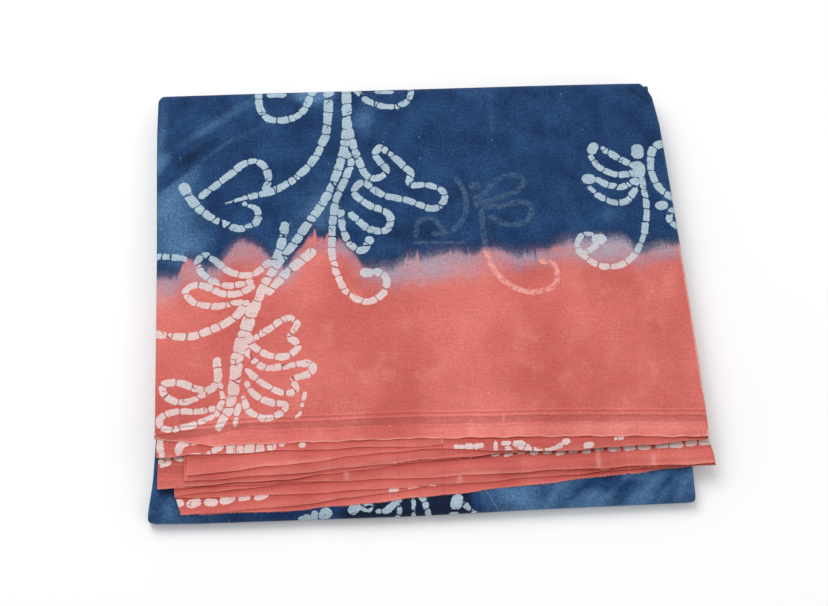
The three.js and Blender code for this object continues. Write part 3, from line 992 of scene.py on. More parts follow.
# The height a stretch takes over a given level: full height inside, down onto the level at its lip
def heightOver(index, x, y, level):
    ribbon = ribbons[index]
    seed = fan["seed"] + index
    v = y - ribbon["edge"](x)
    rest = level + fan["thick"] + fan["gap"] + fan["lift"] * np.maximum(waves(x, 0 * x, 95, seed, 4), 0)
    rest = np.maximum(rest, ribbon["height"] - fan["mostDrop"])
    full = np.maximum(ribbon["height"], rest)
    z = rest + (full - rest) * ease(0.0, fan["rise"], v)
    pick = np.random.default_rng(seed)
    for _ in range(fanCreases["count"]):
        picked = (pick.uniform(*span) for span in fanCreases["spans"].values())
        at, inward, slope, length, tall, width = picked
        z = z + tall * hump(v - inward - slope * (x - at), 0, width) * np.exp(-((x - at) / length) ** 4)
    return np.maximum(z, rest - 0.04)


# The surface under a stretch, -1 being the top one
def levelBelow(index, x, y):
    level = flapHeight + 0 * x
    for k in range(len(ribbons) - 1, index, -1):
        ribbon = ribbons[k]
        over = (y > ribbon["edge"](x)) & (x > ribbon["left"](y)) & (x < ribbon["right"](y))
        level = np.where(over, heightOver(k, x, y, level), level)
    return level


# How far a far corner of the top is drawn in at a place along its side
def tucked(side, y):
    return sum(reach * ease(start, end, y) for reach, start, end in top["tuckedCorners"][side])


def makeTop():
    wide = top["wide"]
    stations = rolledEnds(wide, top["spacing"])
    flat = gridLines([(0.0, top["selvedgeRows"]), (top["selvedgeBand"], top["inkRows"]),
                      (top["flatRun"], top["inkRows"])])
    flat = flat / flat[-1]
    turn = gridLines([(0.0, top["turnRows"]), (math.pi, top["turnRows"])])[1:]
    below = gridLines([(0.0, top["underRows"]), (top["under"], top["underRows"])])[1:]
    run, radius = top["flatRun"], top["turnRadius"]
    half = topHeight / 2
    v = np.concatenate([flat * run, run + turn * radius, run + math.pi * radius + below])
    v = np.repeat(v[None], len(stations[0]), axis=0)
    rightRadius = np.interp(v, top["rollGrows"], top["rightRoll"])
    rolls = top["leftRoll"], rightRadius, top["tuck"]
    x, depth = acrossSheet(stations, -wide / 2 + 0 * v, wide / 2 + 0 * v, *rolls)

    def squared(value):
        return np.sign(value) * np.abs(value) ** top["foldPower"]

    for _ in range(3):
        near, far = nearOf(x), farOf(x)
        centre = far - top["reach"]
        y = np.empty_like(x)
        z = np.empty_like(x)
        a, b = len(flat), len(flat) + len(turn)
        y[:, :a] = near[:, :a] + flat * (centre - near)[:, :a]
        z[:, :a] = topHeight - depth[:, :a]
        y[:, a:b] = centre[:, a:b] + (top["reach"] - depth[:, a:b]) * squared(np.sin(turn))
        z[:, a:b] = half + (half - depth[:, a:b]) * squared(np.cos(turn))
        y[:, b:] = centre[:, b:] - below
        z[:, b:] = depth[:, b:]
        share = z / topHeight
        left, right = sidesAt(y, share)
        left = left + tucked("left", y) * share
        right = right - tucked("right", y) * share
        x, depth = acrossSheet(stations, left, right, *rolls)
    u = lengthAcross(x, depth)
    v = v * (centre - near) / run               # true distance in from the selvedge
    onTop = ease(40.0, 0.0, v - top["creaseEnd"]) * ease(1.5, 0.0, depth)
    z = z + onTop * (creased(x, y, topCreases) + rippled(x, y, top["ripples"]))
    inward = v + top["slant"] * np.clip((top["slantFrom"] - x) / top["slantRun"], 0, 1.1) ** 1.4
    lip = ease(top["lipRise"], 0.0, v) * (y < centre)
    airy = 1 + 0.8 * np.sin(x / 17.0) * np.sin(x / 41.0 + 1)
    rest = levelBelow(-1, x, y) + top["thick"] + top["lipGap"] * airy
    drop = np.clip(topHeight - rest, 0.0, top["mostDrop"])
    z = z - lip * drop * ease(top["lipDies"], 0.0, depth)
    y = y - ease(30.0, 0.0, v) * top["selvedgeWave"] * (np.sin(x / 6.3) + np.sin(x / 2.7 + 1))
    for place in weave["ridges"]:
        z = z + top["ridgeHeight"] * hump(inward, place, weave["ridgeHalf"]) * onTop
    z = z * settled(x, y)
    points = np.stack([x, y, z], axis=-1)
    lay = np.stack([u, inward], axis=-1)
    planY = v + nearOf(x)                       # the drawing runs on over the far fold
    inks = inkFields(u, planY, vine())
    ghost = inkFields(u, planY, ghostVine(), 1)[0][..., 0]
    dye = np.where(v > top["dipRun"], allBlue, y - dipLevel(x))
    cloudEnd, plainStart = top["cloudRun"]
    # Dye clouds with some painted light and shade, and painted light and shade along the creases: paler on
    # the raised ones, darker in the troughs
    wash = (clouded(x, y, clouds) + creased(x, y, topCreases)) * ease(plainStart, cloudEnd, v)
    # Rolled ends, the coral right end most, and the lip are paler, partly from rubbing and partly a painted
    # highlight
    rubbedAndLit = top["rubbedAndLit"]
    ends = np.where((x > 0) & (dye < 0), rubbedAndLit["coralEnd"], rubbedAndLit["ends"])
    oldFold = hump(x, top["oldFoldAt"], 0.5) * ease(20, 12, v) * ease(2, 6, v)
    wear = rolledEdge(depth) * ends + rubbedAndLit["lip"] * ease(1.3, 0.2, v)
    wear = np.clip(wear + rubbedAndLit["oldFold"] * oldFold, 0, 1)
    vectors = {"inkA": inks[0], "inkB": inks[1], "inkC": inks[2]}
    floats = clothFloats(x.shape, dye=dye, wash=wash, wear=wear, ghost=ghost, bleed=clouded(x, y, bleeds))
    return shell("top_cloth", points, lay, top["thick"], vectors, floats, topMaterial)


topCloth = makeTop()
print("top stretch made:", len(topCloth.data.polygons))


# The nearest lip of the stretches above
def lipAbove(x, above):
    lip = nearOf(x)
    for ribbon in ribbons[:above]:
        edge = ribbon["edge"](x)
        inside = (x > ribbon["left"](edge)) & (x < ribbon["right"](edge))
        lip = np.where(inside, np.minimum(lip, edge), lip)
    return lip


# Light shut off by the stretches above; each shade is (strength, how far in front of a lip it fades)
def underLips(x, y, above, shades):
    gap = np.maximum(lipAbove(x, above) - y, 0)
    return sum(strength * np.exp(-gap / fade) for strength, fade in shades)


base = {
    "thick": 0.42,
    "from": -200.0,
    "to": 188.0,
    "spacing": 1.9,                 # grid lines: across, then along in its three parts
    "underRows": 9.0,
    "turnRows": 0.16,               # radians
    "flapRows": (1.4, 5.0),         # fine as far as the lips that lie on it, coarse behind them
    "finePart": 36.0,
    "underRun": 262.0,
    "flapRun": 73.0,
    "layStart": 575.0,              # keeps its weave and clouds apart from the top's
    "leftRoll": 1.5,
    "rightRoll": 3.1,
    "tuck": 3.0,
    "back": 58.3,                   # where the underside starts, in from the far edge
    "navyShadow": (-72, -56, 24, 35),     # the dark middle, a painted shadow under the fanned stretches, fades in and out between these
    "navyShadowDepth": 1.1,
    "rightPaler": 0.25,
    # how strongly the creases paint paler and darker streaks of light and shade
    "paintedCreaseShade": 0.6,
    "round": 1.1,                   # how far the front corners draw in
    "corners": (1.0, 0.2),          # the left one fully, the right one a little
    "cornerReach": 6.0,
    "flapFades": (-125.0, -100.0),  # its creases die out under the fanned stretches
    "ripples": [(0.18, 60, 15)],
    "shades": [(0.7, 1.8)],
    "cornerShare": 0.45,
    "printShift": 4.8,
}

baseCreases = [
    (150, -163, 48, 18, 2.6, 0.45), (163, -160, 50, 16, 2.2, -0.4), (128, -160, 42, 22, 2.8, 0.45),
    (174, -166, 60, 16, 2.2, 0.4), (102, -162, 36, 22, 2.6, -0.4), (60, -164, -35, 20, 3.0, 0.35),
    (84, -166, 50, 16, 2.4, 0.35), (140, -168, 50, 16, 1.8, 0.35), (112, -166, 48, 14, 1.6, 0.35),
    (-186, -172, 75, 14, 4.0, 0.3), (-120, -176, 4, 40, 2.0, -0.25), (-50, -170, -8, 40, 3.0, 0.2),
]

baseClouds = [
    (-185, 0, 26, 60, 0.35), (-120, 0, 40, 60, 0.2), (52, 0, 22, 60, 0.3), (95, 0, 50, 60, 0.4),
    (125, 16, 9, 8, -1.0), (170, 6, 30, 30, 0.15), (150, -2, 10, 7, 0.3), (138, 6, 16, 8, -0.3),
    (84, 6, 18, 7, -0.25), (62, 8, 8, 9, 0.25), (186, 18, 6, 10, 0.2),
]


# Petals, beads and stems along the centre fold; y here is the distance back from the fold's front
def foldPrint():
    return [
        blob(-90, -0.5, 6.5, 3.0, 20), blob(-83, 1.2, 4.2, 5.0, 80), blob(-75.5, 2.8, 8.0, 2.5, 60),
        blob(-55, 6.3, 6.6, 3.0, 50),
        strand([(-50, 6.8), (-46, 9.8), (-41, 8.0), (-45, 4.4), (-50, 6.4)], 1.7),
        strand([(-38.5, 4.0), (-32, 4.8), (-26, 10)], 3.0, 4.6, 5.0),
        strand([(-24, 16), (-23, 9)], 3.6), strand([(-23, 5), (-24.5, -5)], 3.4),
        strand([(-13.5, 16), (-13, 2), (-13, -6)], 2.8), strand([(-9, 16), (-4.5, 7), (-2, -6)], 4.0),
        blob(17.4, 8.4, 7.8, 3.0, 80), strand([(22.5, 6.4), (29.5, -0.8)], 4.6, 3.8),
        blob(15.5, -1.6, 3.0, 3.0),
    ]


def makeBase():
    rolls = base["leftRoll"], base["rightRoll"], base["tuck"]
    stations = rolledEnds(base["to"] - base["from"], base["spacing"])
    under = gridLines([(0.0, base["underRows"]), (base["underRun"], base["underRows"])])
    under = under / under[-1]
    turn = gridLines([(0.0, base["turnRows"]), (math.pi, base["turnRows"])])[1:]
    fine, rough = base["flapRows"]
    over = gridLines([(0.0, fine), (base["finePart"], rough), (base["flapRun"], rough)])[1:]
    over = over / over[-1]
    half = flapHeight / 2
    v = np.concatenate([(under - 1) * base["underRun"] - half * math.pi, (turn - math.pi) * half,
                        over * base["flapRun"]]) + half * 0.5
    v = np.repeat(v[None], len(stations[0]), axis=0)
    a, b = len(under), len(under) + len(turn)
    x, depth = acrossSheet(stations, base["from"] + 0 * v, base["to"] + 0 * v, *rolls)
    for _ in range(3):
        start = farOf(x) - base["back"]
        centre = foldOf(x) + half
        y = np.empty_like(x)
        z = np.empty_like(x)
        y[:, :a] = start[:, :a] + under * (centre - start)[:, :a]
        z[:, :a] = depth[:, :a]
        drawnIn = depth[:, a:b] * np.where(x[:, a:b] > 0, base["cornerShare"], 1.0)
        y[:, a:b] = centre[:, a:b] - (half - drawnIn) * np.sin(turn)
        z[:, a:b] = half - (half - depth[:, a:b]) * np.cos(turn)
        y[:, b:] = centre[:, b:] + over * (flapBack - centre[:, b:])
        z[:, b:] = flapHeight - depth[:, b:]
        left, right = baseLeftOf(y), baseRightOf(y)
        x, depth = acrossSheet(stations, left, right, *rolls)
    reach = base["cornerReach"]
    for end, amount in zip((left, right), base["corners"]):
        close = amount * ease(reach, 0.0, np.abs(x - end))
        y = y + base["round"] * close * ease(reach, 0.0, y - foldOf(x)) ** 2
    full, gone = base["flapFades"]
    onFlap = ease(3.0, 9.0, z) * ease(1.5, 0.0, depth) * ease(gone, full, y)
    z = z + onFlap * (creased(x, y, baseCreases) + rippled(x, y, base["ripples"]))
    z = z * settled(x, y)
    points = np.stack([x, y, z], axis=-1)
    lay = np.stack([lengthAcross(x, depth), v + base["layStart"]], axis=-1)
    inks = inkFields(lay[..., 0], v + base["printShift"], foldPrint(), 2)
    # painted shadow under the fanned stretches, darkest in the middle
    fadeIn, dark, stillDark, fadeOut = base["navyShadow"]
    navyShadow = ease(fadeIn, dark, x) * ease(fadeOut, stillDark, x) * ease(-30, -6, v)
    wash = clouded(x, v, baseClouds) + base["rightPaler"] * ease(30, 60, x) - base["navyShadowDepth"] * navyShadow
    # painted light and shade along the creases, paler on the raised ones and darker in the troughs
    wash = wash + base["paintedCreaseShade"] * onFlap * creased(x, y, baseCreases)
    shade = underLips(x, y, len(ribbons), base["shades"]) * ease(3.0, 9.0, z)
    # The rolled ends are paler, partly from rubbing and partly a painted highlight
    floats = clothFloats(x.shape, wash=wash, wear=0.3 * rolledEdge(depth), shade=shade)
    vectors = {"inkA": inks[0], "inkB": inks[1]}
    return shell("base_cloth", points, lay, base["thick"], vectors, floats, baseMaterial)


baseCloth = makeBase()
print("base stretch made:", len(baseCloth.data.polygons))


# Wax marks on the stretches that carry them; y is the distance in from that selvedge
def borderPrint(index):
    if index == 0:
        return [
            blob(-191.3, 9, 3.8, 9.0, 88), blob(-190.5, 0.6, 3.2, 3.0, 80),
            strand([(-178, 2), (-177, 7), (-173, 8.6), (-166, 8.2)], 4.6, 4.6, 2.8),
            strand([(-170, -0.5), (-157, 0)], 1.0),
            strand([(-157, 0.8), (-149, 4.4), (-146, 8.5)], 2.6, 4.0),
            blob(-141.2, 3.5, 5.4, 9.0, 84), blob(-134.7, 3.5, 4.2, 9.0, 86), blob(-128, 3.6, 6.6, 7.0, 84),
            blob(-120.4, 4.6, 5.6, 7.0, 84), blob(-112.2, 6.4, 6.2, 7.0, 82),
            blob(-104.9, 7.6, 3.8, 6.0, 80), blob(-97, 8, 2.4, 2.0), blob(-90.7, 3.6, 3.2, 1.6),
        ]
    if index == 1:
        return [
            blob(20, 1.4, 2.8, 4.6, 2), blob(27, 1.8, 3.6, 2.6, 4), blob(34, 2.6, 2.8, 4.0, 12),
            blob(46.2, 3.2, 2.4, 3.6, 88), blob(53.4, 4.4, 2.6, 4.4, 4), blob(55.6, 0.6, 3.0, 3.2, -24),
            strand([(60.6, 4.2), (64, 3.4), (69, 1.2), (76, 0.8), (84, 1.0), (90, 2.8), (95, 5.0)],
                   4.6, 5.6, 2.2, 1.4, 1.8, 3.6),
            blob(96, 5.8, 3.6, 2.0, 20), blob(112.3, 2.4, 2.6, 4.6, 4), blob(134, 5.4, 2.2, 5.0, 4),
        ]
    if index == 4:
        return [strand([(-191, 19), (-187.5, 23), (-184, 20), (-187, 17), (-190, 16)], 3.4),
                strand([(-181, 23), (-177, 20.5), (-173, 24)], 3.2)]
    if index == 5:
        places = np.linspace(46, 120, 9)        # half hidden by the lip above
        peeping = lipAbove(places, index) - ribbons[index]["edge"](places)
        return [
            *dotRow((131, 13.3), (153, 13.0), 3, 3.9, 4.2, 4),
            *dotRow((165, 13.6), (197, 15.4), 4, 4.4, 4.8, 6),
            *(blob(x, v + 0.5 * math.sin(x), 3.0, 3.2, 4) for x, v in zip(places, peeping)),
        ]
    if index == 8:
        return [
            *dotRow((-179, 7.2), (-120, 8.2), 6, 4.8, 4.6, 9, 4), blob(-111, 10.4, 3.0, 3.0, 20),
            *dotRow((-27, 1.0), (0, 1.4), 3, 3.6, 4.0, 12, 10),
        ]
    return []


# Pale marks where an earlier fold crossed a stretch: (x, distance in, half depth)
foldMarks = {
    0: [(8.6, 2, 3)],
    2: [(60, 4, 5)],
    5: [(119, 6, 7), (158.5, 3.5, 4), (-60, 6, 6)],
    7: [(123.5, 4, 4), (20, 5, 5)],
}


def makeBorder(index):
    ribbon = ribbons[index]
    back = ribbon["back"]
    edgeOf, leftOf, rightOf = ribbon["edge"], ribbon["left"], ribbon["right"]
    radius = fan["rollRadius"]
    stations = rolledEnds(ribbon["width"], fan["spacing"])
    inFront = gridLines([(0.0, fan["lipRows"]), (fan["finePart"], fan["lipRows"])])
    behind = gridLines([(0.0, fan["behindRows"]), (1.0, fan["behindRows"])])[1:]
    a = len(inFront)
    y = np.repeat((back - 40 + 0 * stations[0])[:, None], a + len(behind), axis=1)
    for _ in range(4):
        x, depth = acrossSheet(stations, leftOf(y), rightOf(y), radius, radius, fan["tuck"])
        near = edgeOf(x)
        deep = near[:, a:] + fan["finePart"]
        y = np.concatenate([near[:, :a] + inFront, deep + behind * (back - deep)], axis=1)
    v = y - near
    z = heightOver(index, x, y, levelBelow(index, x, y))
    z = z + (ribbon["height"] - z) * ease(back - fan["backRise"], back, y) - depth
    for place in weave["ridges"]:
        z = z + fan["ridgeHeight"] * hump(v, place, weave["ridgeHalf"]) * (depth <= 0)
    shade = underLips(x, y, index, fan["shades"])
    y = y + ease(3.0, 0.0, v) * fan["ruffle"] * (np.sin(x * 1.3 + index) + 2 * np.sin(x * 0.21 + 2 * index))
    z = z * settled(x, y)
    lay = np.stack([lengthAcross(x, depth), v], axis=-1)
    inks = inkFields(lay[..., 0], v, borderPrint(index), 2)
    # Rolled ends and the lip rim are paler, partly from rubbing and partly a painted highlight; old folds
    # are rubbed pale
    rubbedAndLit = fan["rubbedAndLit"]
    wear = rubbedAndLit["ends"] * hump(depth, 0.1, 0.25) * (depth > 0) + rubbedAndLit["lip"] * ease(0.9, 0.1, v)
    for place, inward, half in foldMarks.get(index, []):
        oldFold = hump(x, place, fan["oldFoldWidth"]) * np.exp(-((v - inward) / half) ** 4)
        wear = wear + rubbedAndLit["oldFold"] * oldFold
    wash = fan["mottle"] * waves(x, v * 3, fan["mottleLength"], fan["seed"] + index + 7, 4) - fan["darker"]
    # paler near its own lip, a painted highlight; darker further in, painted shade under the lip above
    wash = wash + fan["lipPaintedLight"] * ease(6, 0.5, v) - fan["inwardPaintedShade"] * ease(6, 22, v)
    floats = clothFloats(x.shape, dye=allCoral, wash=wash, wear=np.clip(wear, 0, 1), shade=shade)
    vectors = {"inkA": inks[0], "inkB": inks[1]}
    shape = np.stack([x, y, z], axis=-1)
    piece = shell(f"selvedge_{index + 1:02d}", shape, lay, fan["thick"], vectors, floats, borderMaterial)
    flat = depth[:, 0] < 0.05
    right = shape[np.argmax(x[:, 0] * flat - 1e3 * ~flat), :a]
    across, down = lay[1:, 1:] - lay[:-1, :-1], lay[:-1, 1:] - lay[1:, :-1]
    area = np.abs(across[..., 0] * down[..., 1] - across[..., 1] * down[..., 0]).sum() / 2 * mm ** 2
    return {"piece": piece, "lip": shape[flat, 0], "rightEnd": right, "flat": np.ptp(lay, axis=(0, 1)) * mm,
            "area": area}


borders = [makeBorder(index) for index in range(len(ribbons))]
print("fanned selvedges made:", sum(len(b["piece"].data.polygons) for b in borders))


class Growth(Nodes):
    def __init__(self, name, sizes):
        self.tree = bpy.data.node_groups.new(name, "GeometryNodeTree")
        self.tree.interface.new_socket("Geometry", in_out="INPUT", socket_type="NodeSocketGeometry")
        for label, kind in sizes.items():
            self.tree.interface.new_socket(label, in_out="INPUT", socket_type="NodeSocket" + kind)
        self.tree.interface.new_socket("Geometry", in_out="OUTPUT", socket_type="NodeSocketGeometry")
        self.given = self.tree.nodes.new("NodeGroupInput").outputs
        self.result = self.tree.nodes.new("NodeGroupOutput").inputs

    # The guide as a curve, with a point every so often
    def evenPath(self, step):
        path = self.node("GeometryNodeMeshToCurve", {0: self.given["Geometry"]}).outputs[0]
        inputs = {"Curve": path, "Length": step}
        return self.node("GeometryNodeResampleCurve", inputs, mode="LENGTH").outputs[0]

    # A tube with closed ends along a path
    def tube(self, path, sides, radius, **more):
        inputs = {"Resolution": sides, "Radius": radius}
        ring = self.node("GeometryNodeCurvePrimitiveCircle", inputs).outputs[0]
        inputs = {"Curve": path, "Profile Curve": ring, "Fill Caps": True, **more}
        return self.node("GeometryNodeCurveToMesh", inputs).outputs[0]

    def finish(self, geometry, material):
        real = self.node("GeometryNodeRealizeInstances", {0: geometry}).outputs[0]
        made = self.node("GeometryNodeSetMaterial", {0: real, "Material": material}).outputs[0]
        self.put(self.result[0], made)
        return self.tree


# Runs a tree on a line of points (millimetres) and gives back the plain mesh
def grow(tree, line, values, directions=None):
    mesh = bpy.data.meshes.new("guide")
    mesh.from_pydata((np.array(line) * mm).tolist(), [(k, k + 1) for k in range(len(line) - 1)], [])
    if directions is not None:
        store = mesh.attributes.new("out", "FLOAT_VECTOR", "POINT")
        store.data.foreach_set("vector", np.ravel(directions))
    guide = bpy.data.objects.new("guide", mesh)
    bpy.context.scene.collection.objects.link(guide)
    modifier = guide.modifiers.new("grow", "NODES")
    modifier.node_group = tree
    for item in tree.interface.items_tree:
        if item.in_out == "INPUT" and item.name in values:
            modifier[item.identifier] = values[item.name]
    bpy.context.view_layer.update()
    result = bpy.data.meshes.new_from_object(guide.evaluated_get(bpy.context.evaluated_depsgraph_get()))
    bpy.data.objects.remove(guide)
    bpy.data.meshes.remove(mesh)
    return result


def meshPoints(mesh):
    points = np.empty(len(mesh.vertices) * 3)
    mesh.vertices.foreach_get("co", points)
    return points.reshape(-1, 3) / mm


# A pack folded in half again and again has, in each stack, one large fold and beside it one of half
# that size, then a quarter, and so on; every second stack is the other way up. The tree stacks them
# up the pack's side. The outer stretches' own rolled ends stand for the lowest and the highest.
layers = {
    "stacks": 4,
    "inset": 0.9,
    "step": 0.006,
    "sides": 12,
    "seed": 7,
    "wander": 0.0007,
    "left": {"folds": 5, "first": 0.25},
    "right": {"folds": 1, "first": 0.5},
    "coreInset": 1.2,
    "coreEnds": (9.0, 14.0),        # how far its front and back round off
    "farGap": 2.5,                  # kept clear of the far fold
    "sideSpan": (-130.0, -90.0),    # the sides take the upper outline over this span, front to back
    "bendSpan": (-150.0, -110.0),   # and follow the centre fold's bend over this one
    "dip": 24.0,
}
pitch = topHeight / layers["stacks"]

# Each run of folds: side, from which place, and the heights it lies between, in stacks
layerRuns = [
    ("left", "centre fold", 0.49, 1.51), ("left", "fanned edge", 1.49, 3.51),
    ("right", "fanned edge", 0.99, 3.01),
]

# The blocks of cloth between the folded sides: from which place, and the heights each lies between
coreRuns = [("centre fold", 0.9, 2 * pitch - 1.2), ("fanned edge", 2 * pitch - 1.6, 4 * pitch - 1.4)]


def layerTree():
    g = Growth("foldedEdges", {
        "Stacks": "Int", "Folds": "Int", "Sides": "Int", "Pitch": "Float", "First": "Float", "Low": "Float",
        "High": "Float", "Step": "Float", "Wander": "Float", "Seed": "Float"})
    n = g.given
    inputs = {"Geometry": g.evenPath(n["Step"]), "Amount": g.times(n["Stacks"], n["Folds"])}
    many = g.node("GeometryNodeDuplicateElements", inputs, domain="SPLINE")
    index = many.outputs["Duplicate Index"]
    stack = g.calc("FLOOR", g.calc("DIVIDE", g.plus(index, 0.5), n["Folds"]))
    fold = g.minus(index, g.times(stack, n["Folds"]))
    share = g.calc("POWER", 0.5, fold)
    radius = g.times(n["First"], share)
    within = g.times(n["First"], g.scaled(share, -3.0, 4.0))
    turned = g.calc("MODULO", stack, 2.0)
    within = g.scaled(turned, g.scaled(within, -2.0, n["Pitch"]), within)
    rise = g.scaled(stack, n["Pitch"], within)
    place = g.node("GeometryNodeInputPosition").outputs[0]
    inputs = {"Vector": place, "W": g.scaled(index, 5.3, n["Seed"]), "Scale": 14.0, "Detail": 1.0}
    noise = g.node("ShaderNodeTexNoise", inputs, noise_dimensions="4D").outputs["Color"]
    sway = g.split(noise)
    out = g.scaled(g.minus(sway[0], 0.35), n["Wander"], radius)
    lift = g.scaled(g.minus(sway[1], 0.5), g.times(radius, 0.25), rise)
    inputs = {"Geometry": many.outputs[0], "Offset": g.joined(out, 0.0, lift)}
    moved = g.node("GeometryNodeSetPosition", inputs)
    outside = g.node("FunctionNodeBooleanMath", {
        0: g.calc("LESS_THAN", g.minus(rise, radius), n["Low"]),
        1: g.calc("GREATER_THAN", g.plus(rise, radius), n["High"])}, operation="OR").outputs[0]
    kept = g.node("GeometryNodeDeleteGeometry", {0: moved.outputs[0], "Selection": outside}, domain="CURVE")
    return g.finish(g.tube(kept.outputs[0], n["Sides"], 1.0, Scale=radius), layerMaterial)


# Puts points given as (in from the side, y, height) onto the pack's tapering sides and rounded ends
def packed(points, side, start):
    inward, y, z = points.T
    z = np.interp(z, (0, 2 * pitch, 4 * pitch), (0, flapHeight, topHeight))
    share = z / topHeight * ease(*layers["sideSpan"], y)
    left, right = sidesAt(y, share)
    x = left + layers["inset"] + inward if side == "left" else right - layers["inset"] - inward
    turn = np.clip((y - farOf(x) + top["reach"] + 1.0) / top["reach"], 0, 0.97)
    power = top["foldPower"]
    squeeze = (1 - turn ** (2 / power)) ** (power / 2)
    half = topHeight / 2
    z = half + (z - half) * 0.97 * squeeze
    if start < layers["sideSpan"][0]:       # inside the centre fold
        front = np.clip((start + flapHeight / 2 - y) / (flapHeight / 2), 0, 0.96)
        z = flapHeight / 2 + (z - flapHeight / 2) * np.sqrt(1 - front ** 2)
        y = y + (foldOf(x) - foldOf(0.0)) * ease(*layers["bendSpan"][::-1], y)
    return np.stack([x, y, z * settled(x, y)], axis=1)


# One such block, a ring of points at each station
def coreBlock(low, high, start):
    end = farOf(0.0) - layers["farGap"]
    front, back = layers["coreEnds"]
    frontTurn, backTurn = np.linspace(0, math.pi / 2, 7), np.linspace(0, math.pi / 2, 8)
    stations = np.unique(np.concatenate([start + front * (1 - np.cos(frontTurn)),
                                         np.linspace(start + front + 1, end - back, 14),
                                         end - back * (1 - np.sin(backTurn))]))
    inset = layers["coreInset"]
    ring = [(inset, low), (inset, (low + high) / 2), (inset, high)]
    left = np.array([(i, y, z) for y in stations for i, z in ring])
    right = np.array([(i, y, z) for y in stations for i, z in ring[::-1]])
    points = np.concatenate([packed(left, "left", start).reshape(-1, 3, 3),
                             packed(right, "right", start).reshape(-1, 3, 3)], axis=1)
    count = points.shape[1]
    faces = []
    for k in range(len(stations) - 1):
        for i in range(count):
            j = (i + 1) % count
            faces.append((k * count + i, (k + 1) * count + i, (k + 1) * count + j, k * count + j))
    faces.append(tuple(range(count)))
    faces.append(tuple(range(len(stations) * count - 1, (len(stations) - 1) * count - 1, -1)))
    return points.reshape(-1, 3), faces


def makeLayers():
    tree = layerTree()
    starts = {"centre fold": foldOf(0.0) + 2.8, "fanned edge": ribbons[0]["back"] + 0.8}
    points, faces = [], []
    total = 0
    for side, where, low, high in layerRuns:
        start = starts[where]
        values = {
            "Stacks": layers["stacks"], "Folds": layers[side]["folds"], "Sides": layers["sides"],
            "Pitch": pitch * mm, "First": pitch * layers[side]["first"] * mm,
            "Low": low * pitch * mm, "High": high * pitch * mm,
            "Step": layers["step"], "Wander": layers["wander"], "Seed": float(layers["seed"]),
        }
        mesh = grow(tree, [(0, start, 0), (0, farOf(0.0) - 3.0, 0)], values)
        placed = packed(meshPoints(mesh), side, start)
        step = 1 if side == "left" else -1
        faces += [tuple(total + v for v in p.vertices)[::step] for p in mesh.polygons]
        points.append(placed)
        total += len(placed)
    for where, low, high in coreRuns:
        block, sides = coreBlock(low, high, starts[where])
        faces += [tuple(total + v for v in face) for face in sides]
        points.append(block)
        total += len(block)
    points = np.concatenate(points)
    mesh = bpy.data.meshes.new("folded_layers")
    mesh.from_pydata(((points + slide) * mm).tolist(), [], faces)
    x, y, z = points.T
    upper = z > flapHeight
    dye = np.where(upper, y - layers["dip"] + 7 * waves(y * 0, z * 6, 30, 51, 3), allBlue)
    wash = 0.5 * waves(y * 0.5, z * 9, 40, 61, 5) - 0.15
    floats = clothFloats(x.shape, dye=dye, wash=wash, wear=0.1, bleed=0.3)
    lay = np.stack([y, z * 1.6 + x * 0.3], axis=1)
    return dressed("folded_layers", mesh, lay, {}, floats, layerMaterial)


foldedLayers = makeLayers()
print("folded layers made:", len(foldedLayers.data.polygons))


# Loose thread ends along the lowest lips and the cut end, and one long thread on the indigo
fray = {"spacing": 0.0014, "length": 0.0012, "thread": 0.00016, "spread": 0.6, "seed": 3}
stray = {
    "joints": [(34, -152), (36.4, -157), (40.5, -162), (43.5, -168), (47.5, -173.2)],
    "lift": 0.22,
    "step": 0.002,
    "thread": 0.00013,
}
clearOfRidges = 460.0               # added to a thread's layout, so that no selvedge ridge falls on it


def frayTree():
    g = Growth("looseEnds", {
        "Spacing": "Float", "Length": "Float", "Thread": "Float", "Spread": "Float", "Seed": "Int"})
    n = g.given
    path = g.evenPath(n["Spacing"])
    points = g.node("GeometryNodeCurveToPoints", {"Curve": path}, mode="EVALUATED").outputs[0]
    line = g.node("GeometryNodeCurvePrimitiveLine", {"End": (0.0, 0.0, 1.0)}).outputs[0]
    thread = g.tube(line, 3, n["Thread"])
    out = g.node("GeometryNodeInputNamedAttribute", {"Name": "out"}, data_type="FLOAT_VECTOR").outputs[0]
    spread = g.joined(n["Spread"], n["Spread"], n["Spread"])
    inputs = {0: g.vector("MULTIPLY", spread, (-1, -1, -1)), 1: spread, "Seed": n["Seed"]}
    lean = g.node("FunctionNodeRandomValue", inputs, data_type="FLOAT_VECTOR").outputs[0]
    inputs = {"Vector": g.vector("ADD", out, lean)}
    aim = g.node("FunctionNodeAlignRotationToVector", inputs, axis="Z").outputs[0]
    inputs = {2: 0.3, 3: 1.0, "Seed": g.plus(n["Seed"], 9)}
    size = g.node("FunctionNodeRandomValue", inputs, data_type="FLOAT").outputs[1]
    scale = g.joined(1.0, 1.0, g.times(size, n["Length"]))
    inputs = {"Points": points, "Instance": thread, "Rotation": aim, "Scale": scale}
    return g.finish(g.node("GeometryNodeInstanceOnPoints", inputs).outputs[0], borderMaterial)


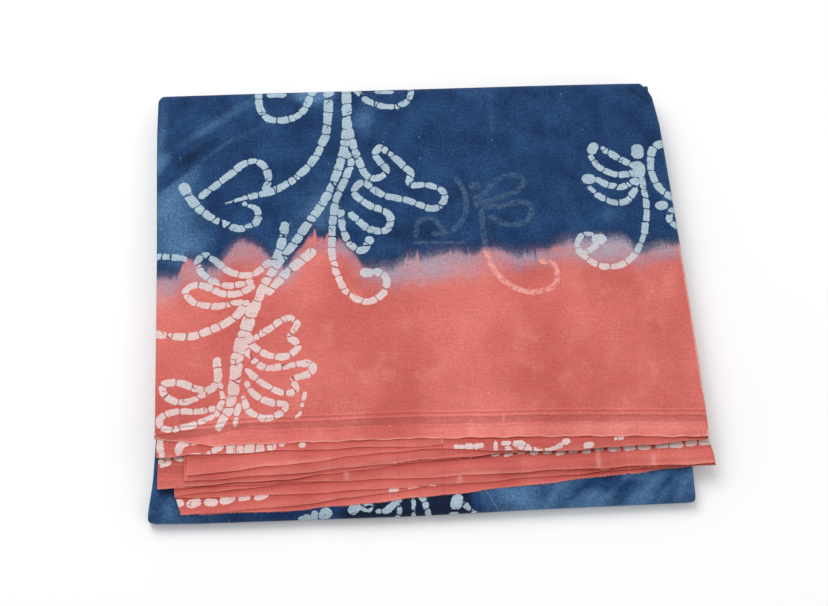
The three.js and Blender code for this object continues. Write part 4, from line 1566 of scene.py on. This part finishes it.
def makeFray(name, tree, line, direction, lengthScale=1.0, seed=0):
    line = np.array(line) + slide
    values = {"Spacing": fray["spacing"], "Length": fray["length"] * lengthScale, "Thread": fray["thread"],
              "Spread": fray["spread"], "Seed": fray["seed"] + seed}
    mesh = grow(tree, line, values, np.tile(direction, (len(line), 1)))
    x, y, _ = (meshPoints(mesh) - slide).T
    floats = clothFloats(x.shape, dye=allCoral, wash=0.2, wear=0.35)
    return dressed(name, mesh, np.stack([x, y + clearOfRidges], axis=1), {}, floats, borderMaterial)


def threadTree():
    g = Growth("strayThread", {"Step": "Float", "Thread": "Float"})
    return g.finish(g.tube(g.evenPath(g.given["Step"]), 5, g.given["Thread"]), borderMaterial)


def makeThread():
    x, y = strand(stray["joints"])["line"].T
    half = flapHeight / 2
    over = np.clip((foldOf(x) + half - y) / half, 0, 0.995)
    z = (half + half * np.sqrt(1 - over ** 2)) * settled(x, y) + stray["lift"]
    values = {"Step": stray["step"], "Thread": stray["thread"]}
    mesh = grow(threadTree(), np.stack([x, y, z], axis=1) + slide, values)
    count = len(mesh.vertices)
    pale = {"inkA": np.tile((-3.0, 0.0, wholeSide), (count, 1))}
    floats = clothFloats(count, wash=1.0, wear=0.5)
    lay = meshPoints(mesh)[:, :2] + clearOfRidges
    return dressed("stray_thread", mesh, lay, pale, floats, borderMaterial)


looseEnds = frayTree()
frayed = {
    8: makeFray("ninth_lip_ends", looseEnds, borders[8]["lip"], (0.0, -1.0, -0.1), 1.0, 1),
    9: makeFray("tenth_lip_ends", looseEnds, borders[9]["lip"], (0.0, -1.0, -0.1), 1.0, 2),
    0: makeFray("cut_end_threads", looseEnds, borders[0]["rightEnd"], (1.0, 0.0, -0.05), 2.0, 3),
}
strayThread = makeThread()
print("loose ends made:", sum(len(f.data.polygons) for f in frayed.values()))

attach(topCloth, "root")
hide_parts("top_stretch")
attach(baseCloth, "root")
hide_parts("base_stretch")
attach(foldedLayers, "root")
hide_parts("hidden_layers")
for index, border in enumerate(borders):
    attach(border["piece"], "root")
    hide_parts(f"border_{index + 1:02d}")
for threads in (*frayed.values(), strayThread):
    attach(threads, "root")
